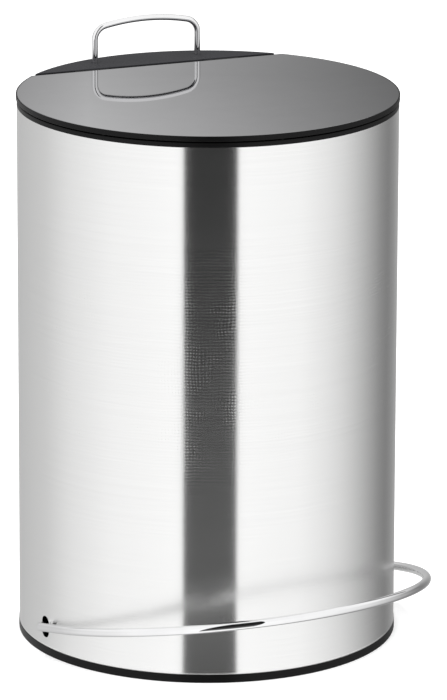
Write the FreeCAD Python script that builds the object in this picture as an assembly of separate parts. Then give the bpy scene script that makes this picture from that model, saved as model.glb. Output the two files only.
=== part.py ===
"""Pedal bin with a hinged lid, a hoop pedal, a lift linkage and a lift-out bucket.

Millimetres.  The origin lies on the bin's axis at floor level, +Z is up, the lid opens
from the front (-Y) and is hinged at the back (+Y).  The hoop pedal has a frame of its own:
X runs along the pedal's axle, and the frame is turned about +Z by pedal_heading.
"""
import FreeCAD, Part
import math
import os

from FreeCAD import Vector

# ---------------------------------------------------------------- driving sizes
body_radius = 145.0        # outside of the steel shell
lid_top = 422.8            # top of the closed lid
shell_wall = 0.8

# base
floor_ring_height = 6.5    # visible black band under the steel
floor_ring_overhang = 0.5  # how far the band stands out past the steel
floor_ring_rounding = 0.5  # of the band's edges
floor_ring_width = 15.0    # from the steel's outside inwards
ring_floor_thickness = 3.5
groove_depth = 2.0         # seat of the shell in the ring
upstand_height = 4.5       # inner lip above the band
plate_thickness = 2.5
plate_flange_width = 12.0
rib_height = 3.5
rib_thickness = 2.0
rib_count = 6
hub_ring_radius = 20.0
pad_radius = 6.0
pad_depth = 1.5
pad_count = 4
base_screw_count = 4

# lid and top ring
lid_edge = 4.1             # height of the lid's edge
lid_overhang = 0.6         # lid radius is this much larger than the shell
lid_gap = 0.9              # between the closed lid and the top ring
panel_thickness = 1.0
panel_rim = 0.7            # black rim round the inlaid panel
lid_rounding = 0.5         # rounding of the lid's edges
lid_rib_width = 1.6
lid_rib_depth = 1.6
ring_band = 3.6            # visible black band above the steel
ring_wall = 6.0            # radial width of that band
skirt_wall = 2.0
skirt_height = 18.0
ledge_drop = 5.7           # from the shell's top down to the bucket's ledge
ledge_thickness = 2.5
bridge_wall = 2.5

# hinge, behind the lid's straight rear edge
rear_depth = 43.6          # from the straight edge to the back of the shell
knuckle_radius = 2.4
knuckle_web = 1.6
knuckle_overlap = 0.4      # knuckle's reach over the lid's straight edge
hinge_pin_radius = 1.5
hinge_spacing = 54.0       # centre of each hinge from the middle
lid_knuckle_length = 12.0
fixed_knuckle_length = 7.5
cover_wall = 2.2
cover_screw_setback = 7.5  # behind the cover's front edge
cover_screw_edge = 4.7     # screw head to the skirt's inside
lid_opening = 80.0         # degrees

# carry handle
handle_wire_radius = 2.4
handle_half_span = 42.8
handle_rise = 32.0         # wire centre above the lid at mid-span
handle_crown_radius = 165.0
handle_corner_radius = 11.0
handle_edge = 3.0          # washer to the skirt's inside
handle_boss_radius = 6.0
washer_radius = 6.0
washer_thickness = 1.5
nut_radius = 4.6           # across the corners
nut_height = 3.4
handle_stub = 4.0          # wire end below the nut

# pedal hoop and its axle
pedal_heading = 9.5        # degrees, the hoop's front is turned towards +X
pedal_wire_radius = 3.3
pedal_side_gap = 7.5       # wire centre outside the shell, beside the axle
pedal_bend_radius = 7.0    # where the wire turns into the shell
pedal_side_length = 31.0   # straight run from the axle forwards
pedal_side_bulge = 11.5    # side arc's radius past the hoop's half width
pedal_side_turn = 30.0     # degrees
pedal_tilt = 11.5          # degrees, front up at rest
axle_height = 23.3
slot_width = 10.0
slot_height = 17.0
slot_drop = 1.5            # slot's middle below the axle
bearing_inset = 45.0       # bearing centre inside the shell
bearing_length = 16.0
bearing_width = 26.0
bearing_cap_height = 7.5
bush_wall = 2.0
bush_flange = 1.5
bush_flange_width = 1.4
bearing_screw_spacing = 9.0
collar_wall = 3.5
collar_length = 5.0
sleeve_wall = 2.0
sleeve_length = 44.0
sleeve_screw_spacing = 15.0
lever_thickness = 3.0
lever_hub_radius = 10.0
lever_tip_radius = 5.0
lever_neck = 4.0           # half height of the lever just before its tip

# push rod between the pedal's lever and the lid's crank
crank_radius = 14.0
rod_radius = 2.5
crank_pin_radius = 2.0
foot_pin_radius = 2.0
foot_pin_drop = 7.5        # below the axle, at rest
foot_radius = 6.5
foot_below_pin = 6.0
foot_slot_above_pin = 7.5
foot_above_pin = 20.0
foot_web = 1.5
yoke_half_thickness = 4.0
yoke_wall = 1.55
yoke_end_wall = 2.0
yoke_neck_length = 8.0
cheek_thickness = 2.5
cheek_radius = 4.0
crank_foot_thickness = 1.5
crank_foot_half_width = 14.0
guide_boss_radius = 6.0
guide_height = 12.0
guide_arm_width = 9.0
guide_leg = 4.0
guide_plate = 2.5
buffer_thickness = 2.6
lower_guide_setback = 10.0
lower_guide_depth = 18.0

# bucket
bucket_floor_height = 52.0
bucket_wall = 1.8
bucket_floor = 2.0
bucket_draft = 8.0         # how much narrower the foot is, on each side
bucket_corner_radius = 15.0
rim_width = 4.0
rim_thickness = 2.0
bail_wire_radius = 1.5
bail_bend_radius = 2.2
grip_radius = 2.5
grip_half_angle = 12.0
ear_thickness = 1.7
ear_half_width = 3.2

# small screws
screw_radius = 1.5
screw_head_radius = 2.75
screw_head_height = 2.2
recess_radius = 1.2
recess_depth = 1.1
rivet_radius = 1.6
rivet_head_radius = 3.2
rivet_head_height = 1.0
rivet_angles = (-35.0, 0.0, 35.0)

# clearances
running_clearance = 0.05   # radial, shaft in a bearing
seat_clearance = 0.1       # pieces that slip into each other
moving_clearance = 0.4     # between pieces that move past each other
bucket_clearance = 0.8     # round the lift-out bucket
slot_play = 0.65           # crank pin in the yoke, each way
touch_gap = 0.05           # faces that rest on each other across a joint

# ---------------------------------------------------------------- derived places
shell_inner = body_radius - shell_wall
lid_radius = body_radius + lid_overhang
lid_bottom = lid_top - lid_edge
ring_top = lid_bottom - lid_gap
shell_top = ring_top - ring_band
shell_foot = floor_ring_height - groove_depth

straight_edge = body_radius - rear_depth
hinge_y = straight_edge + knuckle_radius - knuckle_overlap
hinge_z = lid_top - knuckle_radius - 0.25
cover_front = hinge_y + knuckle_radius + moving_clearance
skirt_outer = shell_inner - seat_clearance
skirt_inner = skirt_outer - skirt_wall
handle_y = math.sqrt((skirt_inner - washer_radius - handle_edge) ** 2 - handle_half_span ** 2)
cover_screw_y = cover_front + cover_screw_setback
cover_screw_x = math.sqrt((skirt_inner - screw_head_radius - cover_screw_edge) ** 2 - cover_screw_y ** 2)

swing = math.radians(lid_opening / 2.0)
crank_pin_y = hinge_y - crank_radius * math.cos(swing)
crank_pin_z = hinge_z - crank_radius * math.sin(swing)
rod_lift = 2.0 * crank_radius * math.sin(swing)
rod_y = hinge_y - crank_radius * (1.0 + math.cos(swing)) / 2.0
pin_travel = crank_radius * (1.0 - math.cos(swing)) / 2.0

heading = math.radians(pedal_heading)
lever_x = rod_y * math.sin(heading)
lever_reach = rod_y * math.cos(heading)
foot_pin_z = axle_height - foot_pin_drop
pedal_travel = math.degrees(
    math.atan((rod_lift - foot_pin_drop) / lever_reach) + math.atan(foot_pin_drop / lever_reach))

yoke_half_height = crank_pin_radius + slot_play + yoke_wall
yoke_slot_half = pin_travel + crank_pin_radius + 0.5
yoke_half_length = yoke_slot_half + yoke_end_wall
notch_half_width = yoke_half_thickness + 0.6 + cheek_thickness + 1.9
cheek_inner = yoke_half_thickness + 0.6
bridge_front = rod_y - yoke_half_length - 2.0

plate_floor_radius = body_radius - floor_ring_width - seat_clearance
plate_radius = plate_floor_radius + plate_flange_width
plate_top = ring_floor_thickness + plate_thickness
upstand_outer = shell_inner - seat_clearance
upstand_inner = plate_radius + seat_clearance

ring_opening = body_radius - ring_wall
rim_radius = ring_opening - bucket_clearance
rim_flat = bridge_front - bucket_clearance
bucket_radius = rim_radius - rim_width
bucket_flat = rim_flat - rim_width
ledge_top = shell_top - ledge_drop
ledge_bottom = ledge_top - ledge_thickness
rim_top = ledge_top + rim_thickness
bail_radius = rim_radius - bail_wire_radius - 0.2
bail_height = rim_top + grip_radius + touch_gap

bearing_x = shell_inner - bearing_inset
bush_radius = pedal_wire_radius + bush_wall
sleeve_radius = pedal_wire_radius + sleeve_wall
collar_radius = pedal_wire_radius + collar_wall
pedal_half_width = body_radius + pedal_side_gap
pedal_side_radius = pedal_half_width + pedal_side_bulge
foot_top = foot_pin_z + foot_above_pin
buffer_bottom = foot_top + rod_lift + moving_clearance
lower_guide_z = buffer_bottom + buffer_thickness
upper_guide_z = crank_pin_z - yoke_half_height - yoke_neck_length - guide_height - 7.0
rod_bottom = foot_pin_z + foot_slot_above_pin + foot_web
rod_top = crank_pin_z - yoke_half_height - 0.5
guide_leg_x = notch_half_width + 4.0

X_AXIS = Vector(1, 0, 0)
Z_AXIS = Vector(0, 0, 1)


# ---------------------------------------------------------------- building blocks
def cylinder(radius, start, direction, length):
    """Solid cylinder from start along direction."""
    return Part.makeCylinder(radius, length, start, direction)


def disc(radius, low, high, x=0.0, y=0.0):
    """Upright cylinder between two heights."""
    return Part.makeCylinder(radius, high - low, Vector(x, y, low))


def tube(outer, inner, low, high, x=0.0, y=0.0):
    """Upright tube between two heights."""
    return disc(outer, low, high, x, y).cut(disc(inner, low - 1, high + 1, x, y))


def block(x0, x1, y0, y1, z0, z1):
    """Box between two corners."""
    return Part.makeBox(x1 - x0, y1 - y0, z1 - z0, Vector(x0, y0, z0))


def fuse(shapes):
    """One clean solid from touching shapes."""
    return shapes[0].multiFuse(shapes[1:]).removeSplitter()


def group(shapes):
    """Separate solids kept together in one node."""
    return Part.makeCompound(shapes)


def polar(radius, degrees, z=0.0):
    """Point at a radius and an angle from +X."""
    angle = math.radians(degrees)
    return Vector(radius * math.cos(angle), radius * math.sin(angle), z)


def turned(shape):
    """Shape from the pedal's frame, turned to the bin's frame."""
    copy = shape.copy()
    copy.rotate(Vector(0, 0, 0), Z_AXIS, pedal_heading)
    return copy


def d_wire(radius, flat, corner, z):
    """Closed outline: a circle cut straight at the back, with rounded corners."""
    centre_y = flat - corner
    centre_x = math.sqrt((radius - corner) ** 2 - centre_y ** 2)
    unit = Vector(centre_x, centre_y, 0).normalize()
    on_arc = Vector(unit.x * radius, unit.y * radius, z)
    on_arc_left = Vector(-on_arc.x, on_arc.y, z)
    on_flat = Vector(centre_x, flat, z)
    on_flat_left = Vector(-centre_x, flat, z)
    middle = math.pi / 4 + math.atan2(unit.y, unit.x) / 2
    bulge = Vector(centre_x + corner * math.cos(middle), centre_y + corner * math.sin(middle), z)
    bulge_left = Vector(-bulge.x, bulge.y, z)
    front = Vector(0, -radius, z)
    edges = [
        Part.Arc(on_arc_left, front, on_arc).toShape(),
        Part.Arc(on_arc, bulge, on_flat).toShape(),
        Part.LineSegment(on_flat, on_flat_left).toShape(),
        Part.Arc(on_flat_left, bulge_left, on_arc_left).toShape(),
    ]
    return Part.Wire(edges)


def d_prism(radius, flat, corner, low, high):
    """Upright prism with the D outline."""
    return Part.Face(d_wire(radius, flat, corner, low)).extrude(Vector(0, 0, high - low))


def d_taper(radius, flat, corner, draft, low, high):
    """Tapered D prism, narrower by the draft at its lower end."""
    foot = d_wire(radius - draft, flat - draft, corner, low)
    head = d_wire(radius, flat, corner, high)
    return Part.makeLoft([foot, head], True, True)


def swept_wire(edges, radius, start, direction):
    """Round wire along tangent edges."""
    profile = Part.Wire([Part.Circle(start, direction, radius).toShape()])
    return Part.Wire(edges).makePipeShell([profile], True, True)


def slab_yz(points, x0, x1):
    """Plate between two x values with a polygon outline in the Y-Z plane."""
    corners = [Vector(x0, y, z) for y, z in points]
    outline = Part.makePolygon(corners + corners[:1])
    return Part.Face(outline).extrude(Vector(x1 - x0, 0, 0))


def obround_yz(half_length, half_height, y, z, x0, x1):
    """Plate between two x values, rounded at both ends along Y."""
    reach = half_length - half_height
    middle = block(x0, x1, y - reach, y + reach, z - half_height, z + half_height)
    ends = [cylinder(half_height, Vector(x0, y + s * reach, z), X_AXIS, x1 - x0) for s in (-1, 1)]
    return fuse([middle] + ends)


def screw(seat, direction, length, radius=screw_radius):
    """Pan-head screw; the head sits on the seat and the shank runs along direction."""
    back = direction * -1.0
    shank = cylinder(radius, seat, direction, length)
    head = cylinder(screw_head_radius, seat, back, screw_head_height)
    top = seat + back * screw_head_height
    recess = cylinder(recess_radius, top, direction, recess_depth)
    return fuse([shank, head]).cut(recess)


# ---------------------------------------------------------------- where screws go
base_screw_radius = plate_floor_radius + plate_flange_width / 2.0
base_screw_points = [polar(base_screw_radius, 45.0 + 360.0 * i / base_screw_count, plate_top)
                     for i in range(base_screw_count)]
bearing_screw_points = [Vector(side * bearing_x, offset, axle_height + bearing_cap_height)
                        for side in (-1, 1)
                        for offset in (-bearing_screw_spacing, bearing_screw_spacing)]
lower_guide_y = rod_y + lower_guide_setback
lower_guide_points = [Vector(side * 8.5, lower_guide_y + lower_guide_depth / 2.0,
                             plate_thickness + guide_plate) for side in (-1, 1)]
upper_guide_points = [Vector(side * (guide_leg_x + guide_leg + 4.5), rod_y, shell_top - guide_plate)
                      for side in (-1, 1)]
cover_screw_points = [Vector(side * cover_screw_x, cover_screw_y, shell_top)
                      for side in (-1, 1)]
handle_points = [Vector(side * handle_half_span, handle_y, 0) for side in (-1, 1)]
crank_screw_points = [Vector(side * (crank_foot_half_width - 3.0), hinge_y - offset, lid_bottom)
                      for side in (-1, 1) for offset in (8.0, 17.0)]
rivet_z = shell_top - skirt_height + 5.0


def drill(shape, points, radius, direction, before, length):
    """Round holes along direction, each starting a little before its point."""
    for point in points:
        start = point - direction * before
        shape = shape.cut(cylinder(radius, start, direction, length + before))
    return shape


# ---------------------------------------------------------------- base
def make_floor_ring():
    """Black protective ring that the shell stands in."""
    outer = body_radius + floor_ring_overhang
    inner = body_radius - floor_ring_width
    band = disc(outer, 0, floor_ring_height)
    rim_edges = [e for e in band.Edges if e.Closed and e.Length > outer]
    band = band.makeFillet(floor_ring_rounding, rim_edges)
    upstand = disc(upstand_outer, floor_ring_height - 0.5, floor_ring_height + upstand_height)
    body = fuse([band, upstand])
    body = body.cut(disc(inner, -1, floor_ring_height + upstand_height + 1))
    body = body.cut(disc(upstand_inner, ring_floor_thickness, floor_ring_height + upstand_height + 1))
    groove = tube(body_radius + seat_clearance, upstand_outer, shell_foot, floor_ring_height + 1)
    body = body.cut(groove)
    body = body.cut(group(pad_solids(0.0)))
    return drill(body, base_screw_points, screw_radius, Z_AXIS * -1.0, 1.0, plate_top - 0.8)


def pad_solids(extra):
    """Rubber pads in pockets under the ring, flush with the floor."""
    radius = body_radius - floor_ring_width / 2.0 + 0.5
    pads = []
    for i in range(pad_count):
        centre = polar(radius, 360.0 * i / pad_count)
        pads.append(disc(pad_radius + extra, 0, pad_depth, centre.x, centre.y))
    return pads


def make_base_plate():
    """Dished base moulding with ribs and the two saddles for the pedal's bearings."""
    floor = disc(plate_floor_radius, 0, plate_thickness)
    side = tube(plate_floor_radius, plate_floor_radius - plate_thickness, 0, plate_top)
    flange = tube(plate_radius, plate_floor_radius - plate_thickness, ring_floor_thickness, plate_top)
    hub = tube(hub_ring_radius, hub_ring_radius - rib_thickness, 0, plate_thickness + rib_height)
    pieces = [floor, side, flange, hub]
    for i in range(rib_count):
        rib = block(hub_ring_radius - 1, plate_floor_radius - 1, -rib_thickness / 2.0,
                    rib_thickness / 2.0, 0, plate_thickness + rib_height)
        rib.rotate(Vector(0, 0, 0), Z_AXIS, 360.0 * i / rib_count)
        pieces.append(rib)
    for side_sign in (-1, 1):
        saddle = block(side_sign * bearing_x - bearing_length / 2.0,
                       side_sign * bearing_x + bearing_length / 2.0,
                       -bearing_width / 2.0, bearing_width / 2.0, 0, axle_height)
        pieces.append(turned(saddle))
    body = fuse(pieces)
    for side_sign in (-1, 1):
        seat = cylinder(bush_radius, Vector(side_sign * bearing_x - bearing_length, 0, axle_height),
                        X_AXIS, 2.0 * bearing_length)
        body = body.cut(turned(seat))
    holes = [turned(Part.Vertex(p)).Point for p in bearing_screw_points]
    body = drill(body, holes, screw_radius, Z_AXIS * -1.0, 1.0, bearing_screw_length())
    body = drill(body, base_screw_points, screw_radius, Z_AXIS * -1.0, 1.0, plate_top)
    return drill(body, lower_guide_points, screw_radius, Z_AXIS * -1.0, 1.0, lower_screw_length())


def bearing_screw_length():
    """Shank length of a bearing screw, down into the saddle."""
    return bearing_cap_height + axle_height / 2.0


def lower_screw_length():
    """Shank length of a lower guide screw, through its foot into the base plate."""
    return guide_plate + plate_thickness - 0.7


def make_bearing_cap(side):
    """Clamp over one bush of the pedal's axle."""
    x = side * bearing_x
    cap = block(x - bearing_length / 2.0, x + bearing_length / 2.0, -bearing_width / 2.0,
                bearing_width / 2.0, axle_height, axle_height + bearing_cap_height)
    edges = [e for e in cap.Edges
             if abs(e.BoundBox.ZLength) < 0.01 and e.BoundBox.ZMin > axle_height + 1
             and e.BoundBox.YLength < 0.01]
    cap = cap.makeFillet(2.0, edges)
    cap = cap.cut(cylinder(bush_radius, Vector(x - bearing_length, 0, axle_height), X_AXIS,
                           2.0 * bearing_length))
    points = [p for p in bearing_screw_points if p.x * side > 0]
    cap = drill(cap, points, screw_radius, Z_AXIS * -1.0, 1.0, 2.0 * bearing_cap_height)
    return turned(cap)


def make_axle_bush(side):
    """Flanged nylon bush that the pedal's wire turns in."""
    x = side * bearing_x
    half = bearing_length / 2.0
    sleeve = cylinder(bush_radius, Vector(x - half, 0, axle_height), X_AXIS, bearing_length)
    flanges = [cylinder(bush_radius + bush_flange_width, Vector(x - half - bush_flange, 0, axle_height),
                        X_AXIS, bush_flange),
               cylinder(bush_radius + bush_flange_width, Vector(x + half, 0, axle_height),
                        X_AXIS, bush_flange)]
    bush = fuse([sleeve] + flanges)
    bore = cylinder(pedal_wire_radius + running_clearance, Vector(x - bearing_length, 0, axle_height),
                    X_AXIS, 2.0 * bearing_length)
    return turned(bush.cut(bore))


def make_rod_guide_lower():
    """Post on the base plate that guides the push rod's lower end."""
    front = lower_guide_y
    back = lower_guide_y + lower_guide_depth
    top = lower_guide_z + guide_height
    foot = block(-14, 14, front, back, plate_thickness, plate_thickness + guide_plate)
    web = block(-3, 3, front, back, plate_thickness, top)
    flange = block(-7, 7, back - 3, back, plate_thickness, top)
    arm = block(-3, 3, rod_y, front + 1, lower_guide_z, top)
    boss = disc(guide_boss_radius, lower_guide_z, top, 0, rod_y)
    guide = fuse([foot, web, flange, arm, boss])
    guide = guide.cut(disc(rod_radius + running_clearance, lower_guide_z - 1, top + 1, 0, rod_y))
    return drill(guide, lower_guide_points, screw_radius, Z_AXIS * -1.0, 1.0, 2.0 * guide_plate)


def make_rod_buffer():
    """Rubber ring under the lower guide that ends the pedal's travel."""
    return tube(guide_boss_radius, rod_radius + moving_clearance, buffer_bottom, lower_guide_z,
                0, rod_y)


# ---------------------------------------------------------------- shell and top
def rivet_frames():
    """Middle of each rivet on the bin's axis, and its outward direction."""
    frames = []
    for angle in rivet_angles:
        outward = polar(1.0, 90.0 + angle)
        frames.append((Vector(0, 0, rivet_z), outward))
    return frames


def make_outer_shell():
    """Rolled steel cylinder with two slots for the pedal's wire."""
    shell = tube(body_radius, shell_inner, shell_foot, shell_top)
    slot_z = axle_height - slot_drop
    reach = (slot_height - slot_width) / 2.0
    for side in (-1, 1):
        direction = X_AXIS * side
        low = cylinder(slot_width / 2.0, Vector(0, 0, slot_z - reach), direction, 2.0 * body_radius)
        high = cylinder(slot_width / 2.0, Vector(0, 0, slot_z + reach), direction, 2.0 * body_radius)
        near, far = sorted((0.0, side * 2.0 * body_radius))
        middle = block(near, far, -slot_width / 2.0, slot_width / 2.0, slot_z - reach, slot_z + reach)
        shell = shell.cut(turned(fuse([low, high, middle])))
    for centre, outward in rivet_frames():
        shell = shell.cut(cylinder(rivet_radius, centre, outward, 2.0 * body_radius))
    return shell


def make_top_ring():
    """Black ring on the shell: bucket ledge, rear bridge, hinge knuckles and skirt."""
    band = disc(body_radius, shell_top, ring_top)
    rim_edges = [e for e in band.Edges if e.Closed and e.BoundBox.ZMin > shell_top + 1]
    band = band.makeFillet(0.8, rim_edges)
    inside = disc(skirt_outer, shell_top - skirt_height, shell_top)
    body = fuse([band, inside])
    corner = bucket_corner_radius + rim_width
    low = shell_top - skirt_height - 1
    body = body.cut(disc(skirt_inner, low, ledge_bottom))
    body = body.cut(d_prism(bucket_radius + bucket_clearance, bucket_flat + bucket_clearance,
                            bucket_corner_radius + bucket_clearance, low, ring_top + 1))
    body = body.cut(d_prism(ring_opening, bridge_front, corner + bucket_clearance,
                            ledge_top, ring_top + 1))
    under_deck = disc(skirt_inner, low, shell_top)
    under_deck = under_deck.common(block(-body_radius, body_radius, bridge_front + bridge_wall,
                                         body_radius, low, shell_top))
    body = body.cut(under_deck)
    body = body.cut(block(-notch_half_width, notch_half_width, bridge_front - rim_width - 1,
                          hinge_y - 4.0, low, ring_top + 1))
    trough_half = lid_knuckle_length / 2.0 + moving_clearance
    for side in (-1, 1):
        trough = cylinder(knuckle_radius + 0.5, Vector(side * hinge_spacing - trough_half, hinge_y, hinge_z),
                          X_AXIS, 2.0 * trough_half)
        body = body.cut(trough)
    body = fuse([body] + fixed_knuckles())
    body = body.cut(hinge_bore(hinge_pin_radius))
    body = drill(body, handle_points, handle_wire_radius + seat_clearance, Z_AXIS, 0.0, lid_top + 20)
    body = drill(body, cover_screw_points, screw_radius, Z_AXIS, 1.0, ring_band + 2)
    body = drill(body, upper_guide_points, screw_radius, Z_AXIS, 1.0, guide_plate + ring_band - 1.0)
    for centre, outward in rivet_frames():
        body = body.cut(cylinder(rivet_radius, centre, outward, 2.0 * body_radius))
    return body


def fixed_knuckles():
    """Hinge knuckles on the bridge, two beside each lid knuckle."""
    pieces = []
    near = lid_knuckle_length / 2.0 + moving_clearance
    for side in (-1, 1):
        for start in (-near - fixed_knuckle_length, near):
            x = side * hinge_spacing + start
            pieces.append(cylinder(knuckle_radius, Vector(x, hinge_y, hinge_z), X_AXIS,
                                   fixed_knuckle_length))
            pieces.append(block(x, x + fixed_knuckle_length, hinge_y - knuckle_web,
                                hinge_y + knuckle_web, ring_top - 1.0, hinge_z))
    return pieces


def hinge_bore(radius):
    """Bores of both hinges along the hinge axis."""
    length = lid_knuckle_length + 2.0 * fixed_knuckle_length + 4.0
    bores = [cylinder(radius, Vector(side * hinge_spacing - length / 2.0, hinge_y, hinge_z),
                      X_AXIS, length) for side in (-1, 1)]
    return group(bores)


def make_hinge_pin(side):
    """Steel pin, pressed into the fixed knuckles."""
    length = lid_knuckle_length + 2.0 * (moving_clearance + fixed_knuckle_length)
    pin = cylinder(hinge_pin_radius, Vector(side * hinge_spacing - length / 2.0, hinge_y, hinge_z),
                   X_AXIS, length)
    return pin.makeChamfer(0.3, [e for e in pin.Edges if e.Closed])


def make_shell_rivets():
    """Rivets that hold the top ring's skirt in the shell."""
    rivets = []
    for centre, outward in rivet_frames():
        tail_start = centre + outward * (skirt_inner - 1.0)
        tail = cylinder(rivet_head_radius - 0.6, tail_start, outward, 0.9)
        shank = cylinder(rivet_radius, tail_start, outward, body_radius - skirt_inner + 1.5)
        head = cylinder(rivet_head_radius, centre + outward * body_radius, outward, rivet_head_height)
        rivets.append(fuse([tail, shank, head]))
    return group(rivets)


def make_rear_cover():
    """Matt segment behind the lid, hollow underneath."""
    def segment(radius, front, low, high):
        strip = block(-radius, radius, front, radius + 1, low, high)
        return disc(radius, low, high).common(strip)

    cover = segment(lid_radius, cover_front, ring_top, lid_top)
    top_edges = [e for e in cover.Edges if e.BoundBox.ZMin > lid_top - 0.1]
    cover = cover.makeFillet(0.6, top_edges)
    hollow = segment(lid_radius - cover_wall, cover_front + cover_wall, ring_top - 1, lid_top - cover_wall)
    for point in handle_points + cover_screw_points:
        hollow = hollow.cut(disc(handle_boss_radius, ring_top - 2, lid_top, point.x, point.y))
    cover = cover.cut(hollow)
    cover = drill(cover, handle_points, handle_wire_radius + seat_clearance, Z_AXIS, 0.0, lid_top + 20)
    return drill(cover, cover_screw_points, screw_radius, Z_AXIS, 0.0, cover_screw_length())


def cover_screw_length():
    """Shank length of a cover screw, up into the cover's boss."""
    return lid_top - shell_top - 1.6


def make_carry_handle():
    """Bent wire handle whose legs pass through the cover and the bridge."""
    y = handle_y
    crown_z = lid_top + handle_rise - handle_crown_radius
    corner_x = handle_half_span - handle_corner_radius
    corner_z = crown_z + math.sqrt((handle_crown_radius - handle_corner_radius) ** 2 - corner_x ** 2)
    lean = math.atan2(corner_x, corner_z - crown_z)
    tangent_x = handle_crown_radius * math.sin(lean)
    tangent_z = crown_z + handle_crown_radius * math.cos(lean)
    half = (math.pi / 2 + lean) / 2.0
    mid_x = corner_x + handle_corner_radius * math.sin(half)
    mid_z = corner_z + handle_corner_radius * math.cos(half)
    foot_z = shell_top - washer_thickness - nut_height - handle_stub
    left = [Vector(-handle_half_span, y, foot_z), Vector(-handle_half_span, y, corner_z),
            Vector(-mid_x, y, mid_z), Vector(-tangent_x, y, tangent_z)]
    right = [Vector(-p.x, y, p.z) for p in left]
    edges = [
        Part.LineSegment(left[0], left[1]).toShape(),
        Part.Arc(left[1], left[2], left[3]).toShape(),
        Part.Arc(left[3], Vector(0, y, lid_top + handle_rise), right[3]).toShape(),
        Part.Arc(right[3], right[2], right[1]).toShape(),
        Part.LineSegment(right[1], right[0]).toShape(),
    ]
    return swept_wire(edges, handle_wire_radius, left[0], Z_AXIS)


def make_handle_washers():
    """Washers under the bridge, one on each leg of the handle."""
    return group([tube(washer_radius, handle_wire_radius + seat_clearance,
                       shell_top - washer_thickness, shell_top, p.x, p.y) for p in handle_points])


def make_handle_nuts():
    """Hexagon nuts on the handle's threaded legs."""
    top = shell_top - washer_thickness
    nuts = []
    for point in handle_points:
        corners = [Vector(point.x, point.y, top - nut_height) + polar(nut_radius, 60.0 * i)
                   for i in range(6)]
        hexagon = Part.Face(Part.makePolygon(corners + corners[:1])).extrude(Vector(0, 0, nut_height))
        nuts.append(hexagon.cut(disc(handle_wire_radius, top - nut_height - 1, top + 1, point.x, point.y)))
    return group(nuts)


def make_rod_guide_upper():
    """Bracket under the bridge that guides the push rod's upper end."""
    half = guide_arm_width / 2.0
    plate_low = shell_top - guide_plate
    pieces = [disc(guide_boss_radius, upper_guide_z, upper_guide_z + guide_height, 0, rod_y)]
    for side in (-1, 1):
        inner = side * guide_leg_x
        outer = side * (guide_leg_x + guide_leg)
        near, far = sorted((0.0, outer))
        pieces.append(block(near, far, rod_y - half, rod_y + half, upper_guide_z + 4,
                            upper_guide_z + guide_height))
        near, far = sorted((inner, outer))
        pieces.append(block(near, far, rod_y - half, rod_y + half, upper_guide_z + 4, shell_top))
        near, far = sorted((inner, side * (guide_leg_x + guide_leg + 9.0)))
        pieces.append(block(near, far, rod_y - half, rod_y + half, plate_low, shell_top))
    guide = fuse(pieces)
    guide = guide.cut(disc(rod_radius + running_clearance, upper_guide_z - 1,
                           upper_guide_z + guide_height + 1, 0, rod_y))
    return drill(guide, upper_guide_points, screw_radius, Z_AXIS, 1.0, 2.0 * guide_plate)


# ---------------------------------------------------------------- lid
def d_cut(radius, flat, low, high):
    """Disc cut straight at the back, with sharp corners."""
    return disc(radius, low, high).common(block(-radius, radius, -radius, flat, low, high))


def make_lid_panel():
    """Mirror-polished steel sheet laid into the lid's tray."""
    panel = d_cut(lid_radius - panel_rim - seat_clearance, straight_edge - panel_rim - seat_clearance,
                  lid_top - panel_thickness, lid_top)
    top_edges = [e for e in panel.Edges if e.BoundBox.ZMin > lid_top - 0.1]
    return panel.makeFillet(lid_rounding, top_edges)


def make_lid_tray():
    """Black lid moulding with its rim, rib and two hinge knuckles."""
    tray = d_cut(lid_radius, straight_edge, lid_bottom, lid_top)
    edges = [e for e in tray.Edges if e.BoundBox.ZLength < 0.01]
    tray = tray.makeFillet(lid_rounding, edges)
    tray = tray.cut(d_cut(lid_radius - panel_rim, straight_edge - panel_rim,
                          lid_top - panel_thickness, lid_top + 1))
    rib_radius = bucket_radius - bucket_wall - 3.0
    rib_flat = bucket_flat - bucket_wall - 3.0
    rib = d_prism(rib_radius, rib_flat, bucket_corner_radius, lid_bottom - lid_rib_depth, lid_bottom + 0.5)
    rib = rib.cut(d_prism(rib_radius - lid_rib_width, rib_flat - lid_rib_width,
                          bucket_corner_radius - lid_rib_width, lid_bottom - lid_rib_depth - 1,
                          lid_bottom + 1))
    relief_half = fixed_knuckle_length + moving_clearance
    near = lid_knuckle_length / 2.0
    for side in (-1, 1):
        for start in (-near - relief_half - moving_clearance, near):
            relief = cylinder(knuckle_radius + moving_clearance,
                              Vector(side * hinge_spacing + start, hinge_y, hinge_z), X_AXIS,
                              relief_half + moving_clearance)
            tray = tray.cut(relief)
    knuckles = []
    for side in (-1, 1):
        x = side * hinge_spacing - near
        knuckles.append(cylinder(knuckle_radius, Vector(x, hinge_y, hinge_z), X_AXIS, lid_knuckle_length))
        knuckles.append(block(x, x + lid_knuckle_length, straight_edge - 1.0, hinge_y,
                              lid_bottom + 0.2, hinge_z + 1.6))
    tray = fuse([tray, rib] + knuckles)
    tray = tray.cut(hinge_bore(hinge_pin_radius + running_clearance))
    tray = tray.cut(crank_foot())
    tray = tray.cut(group(bumper_solids()))
    return drill(tray, crank_screw_points, screw_radius, Z_AXIS, 0.0, crank_screw_length())


def crank_foot():
    """Foot plate of the crank, let into the lid's underside."""
    return block(-crank_foot_half_width, crank_foot_half_width, hinge_y - 20.0, hinge_y - 5.0,
                 lid_bottom, lid_bottom + crank_foot_thickness)


def crank_screw_length():
    """Shank length of a crank screw, up into the tray."""
    return lid_edge - panel_thickness - 0.5


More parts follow.
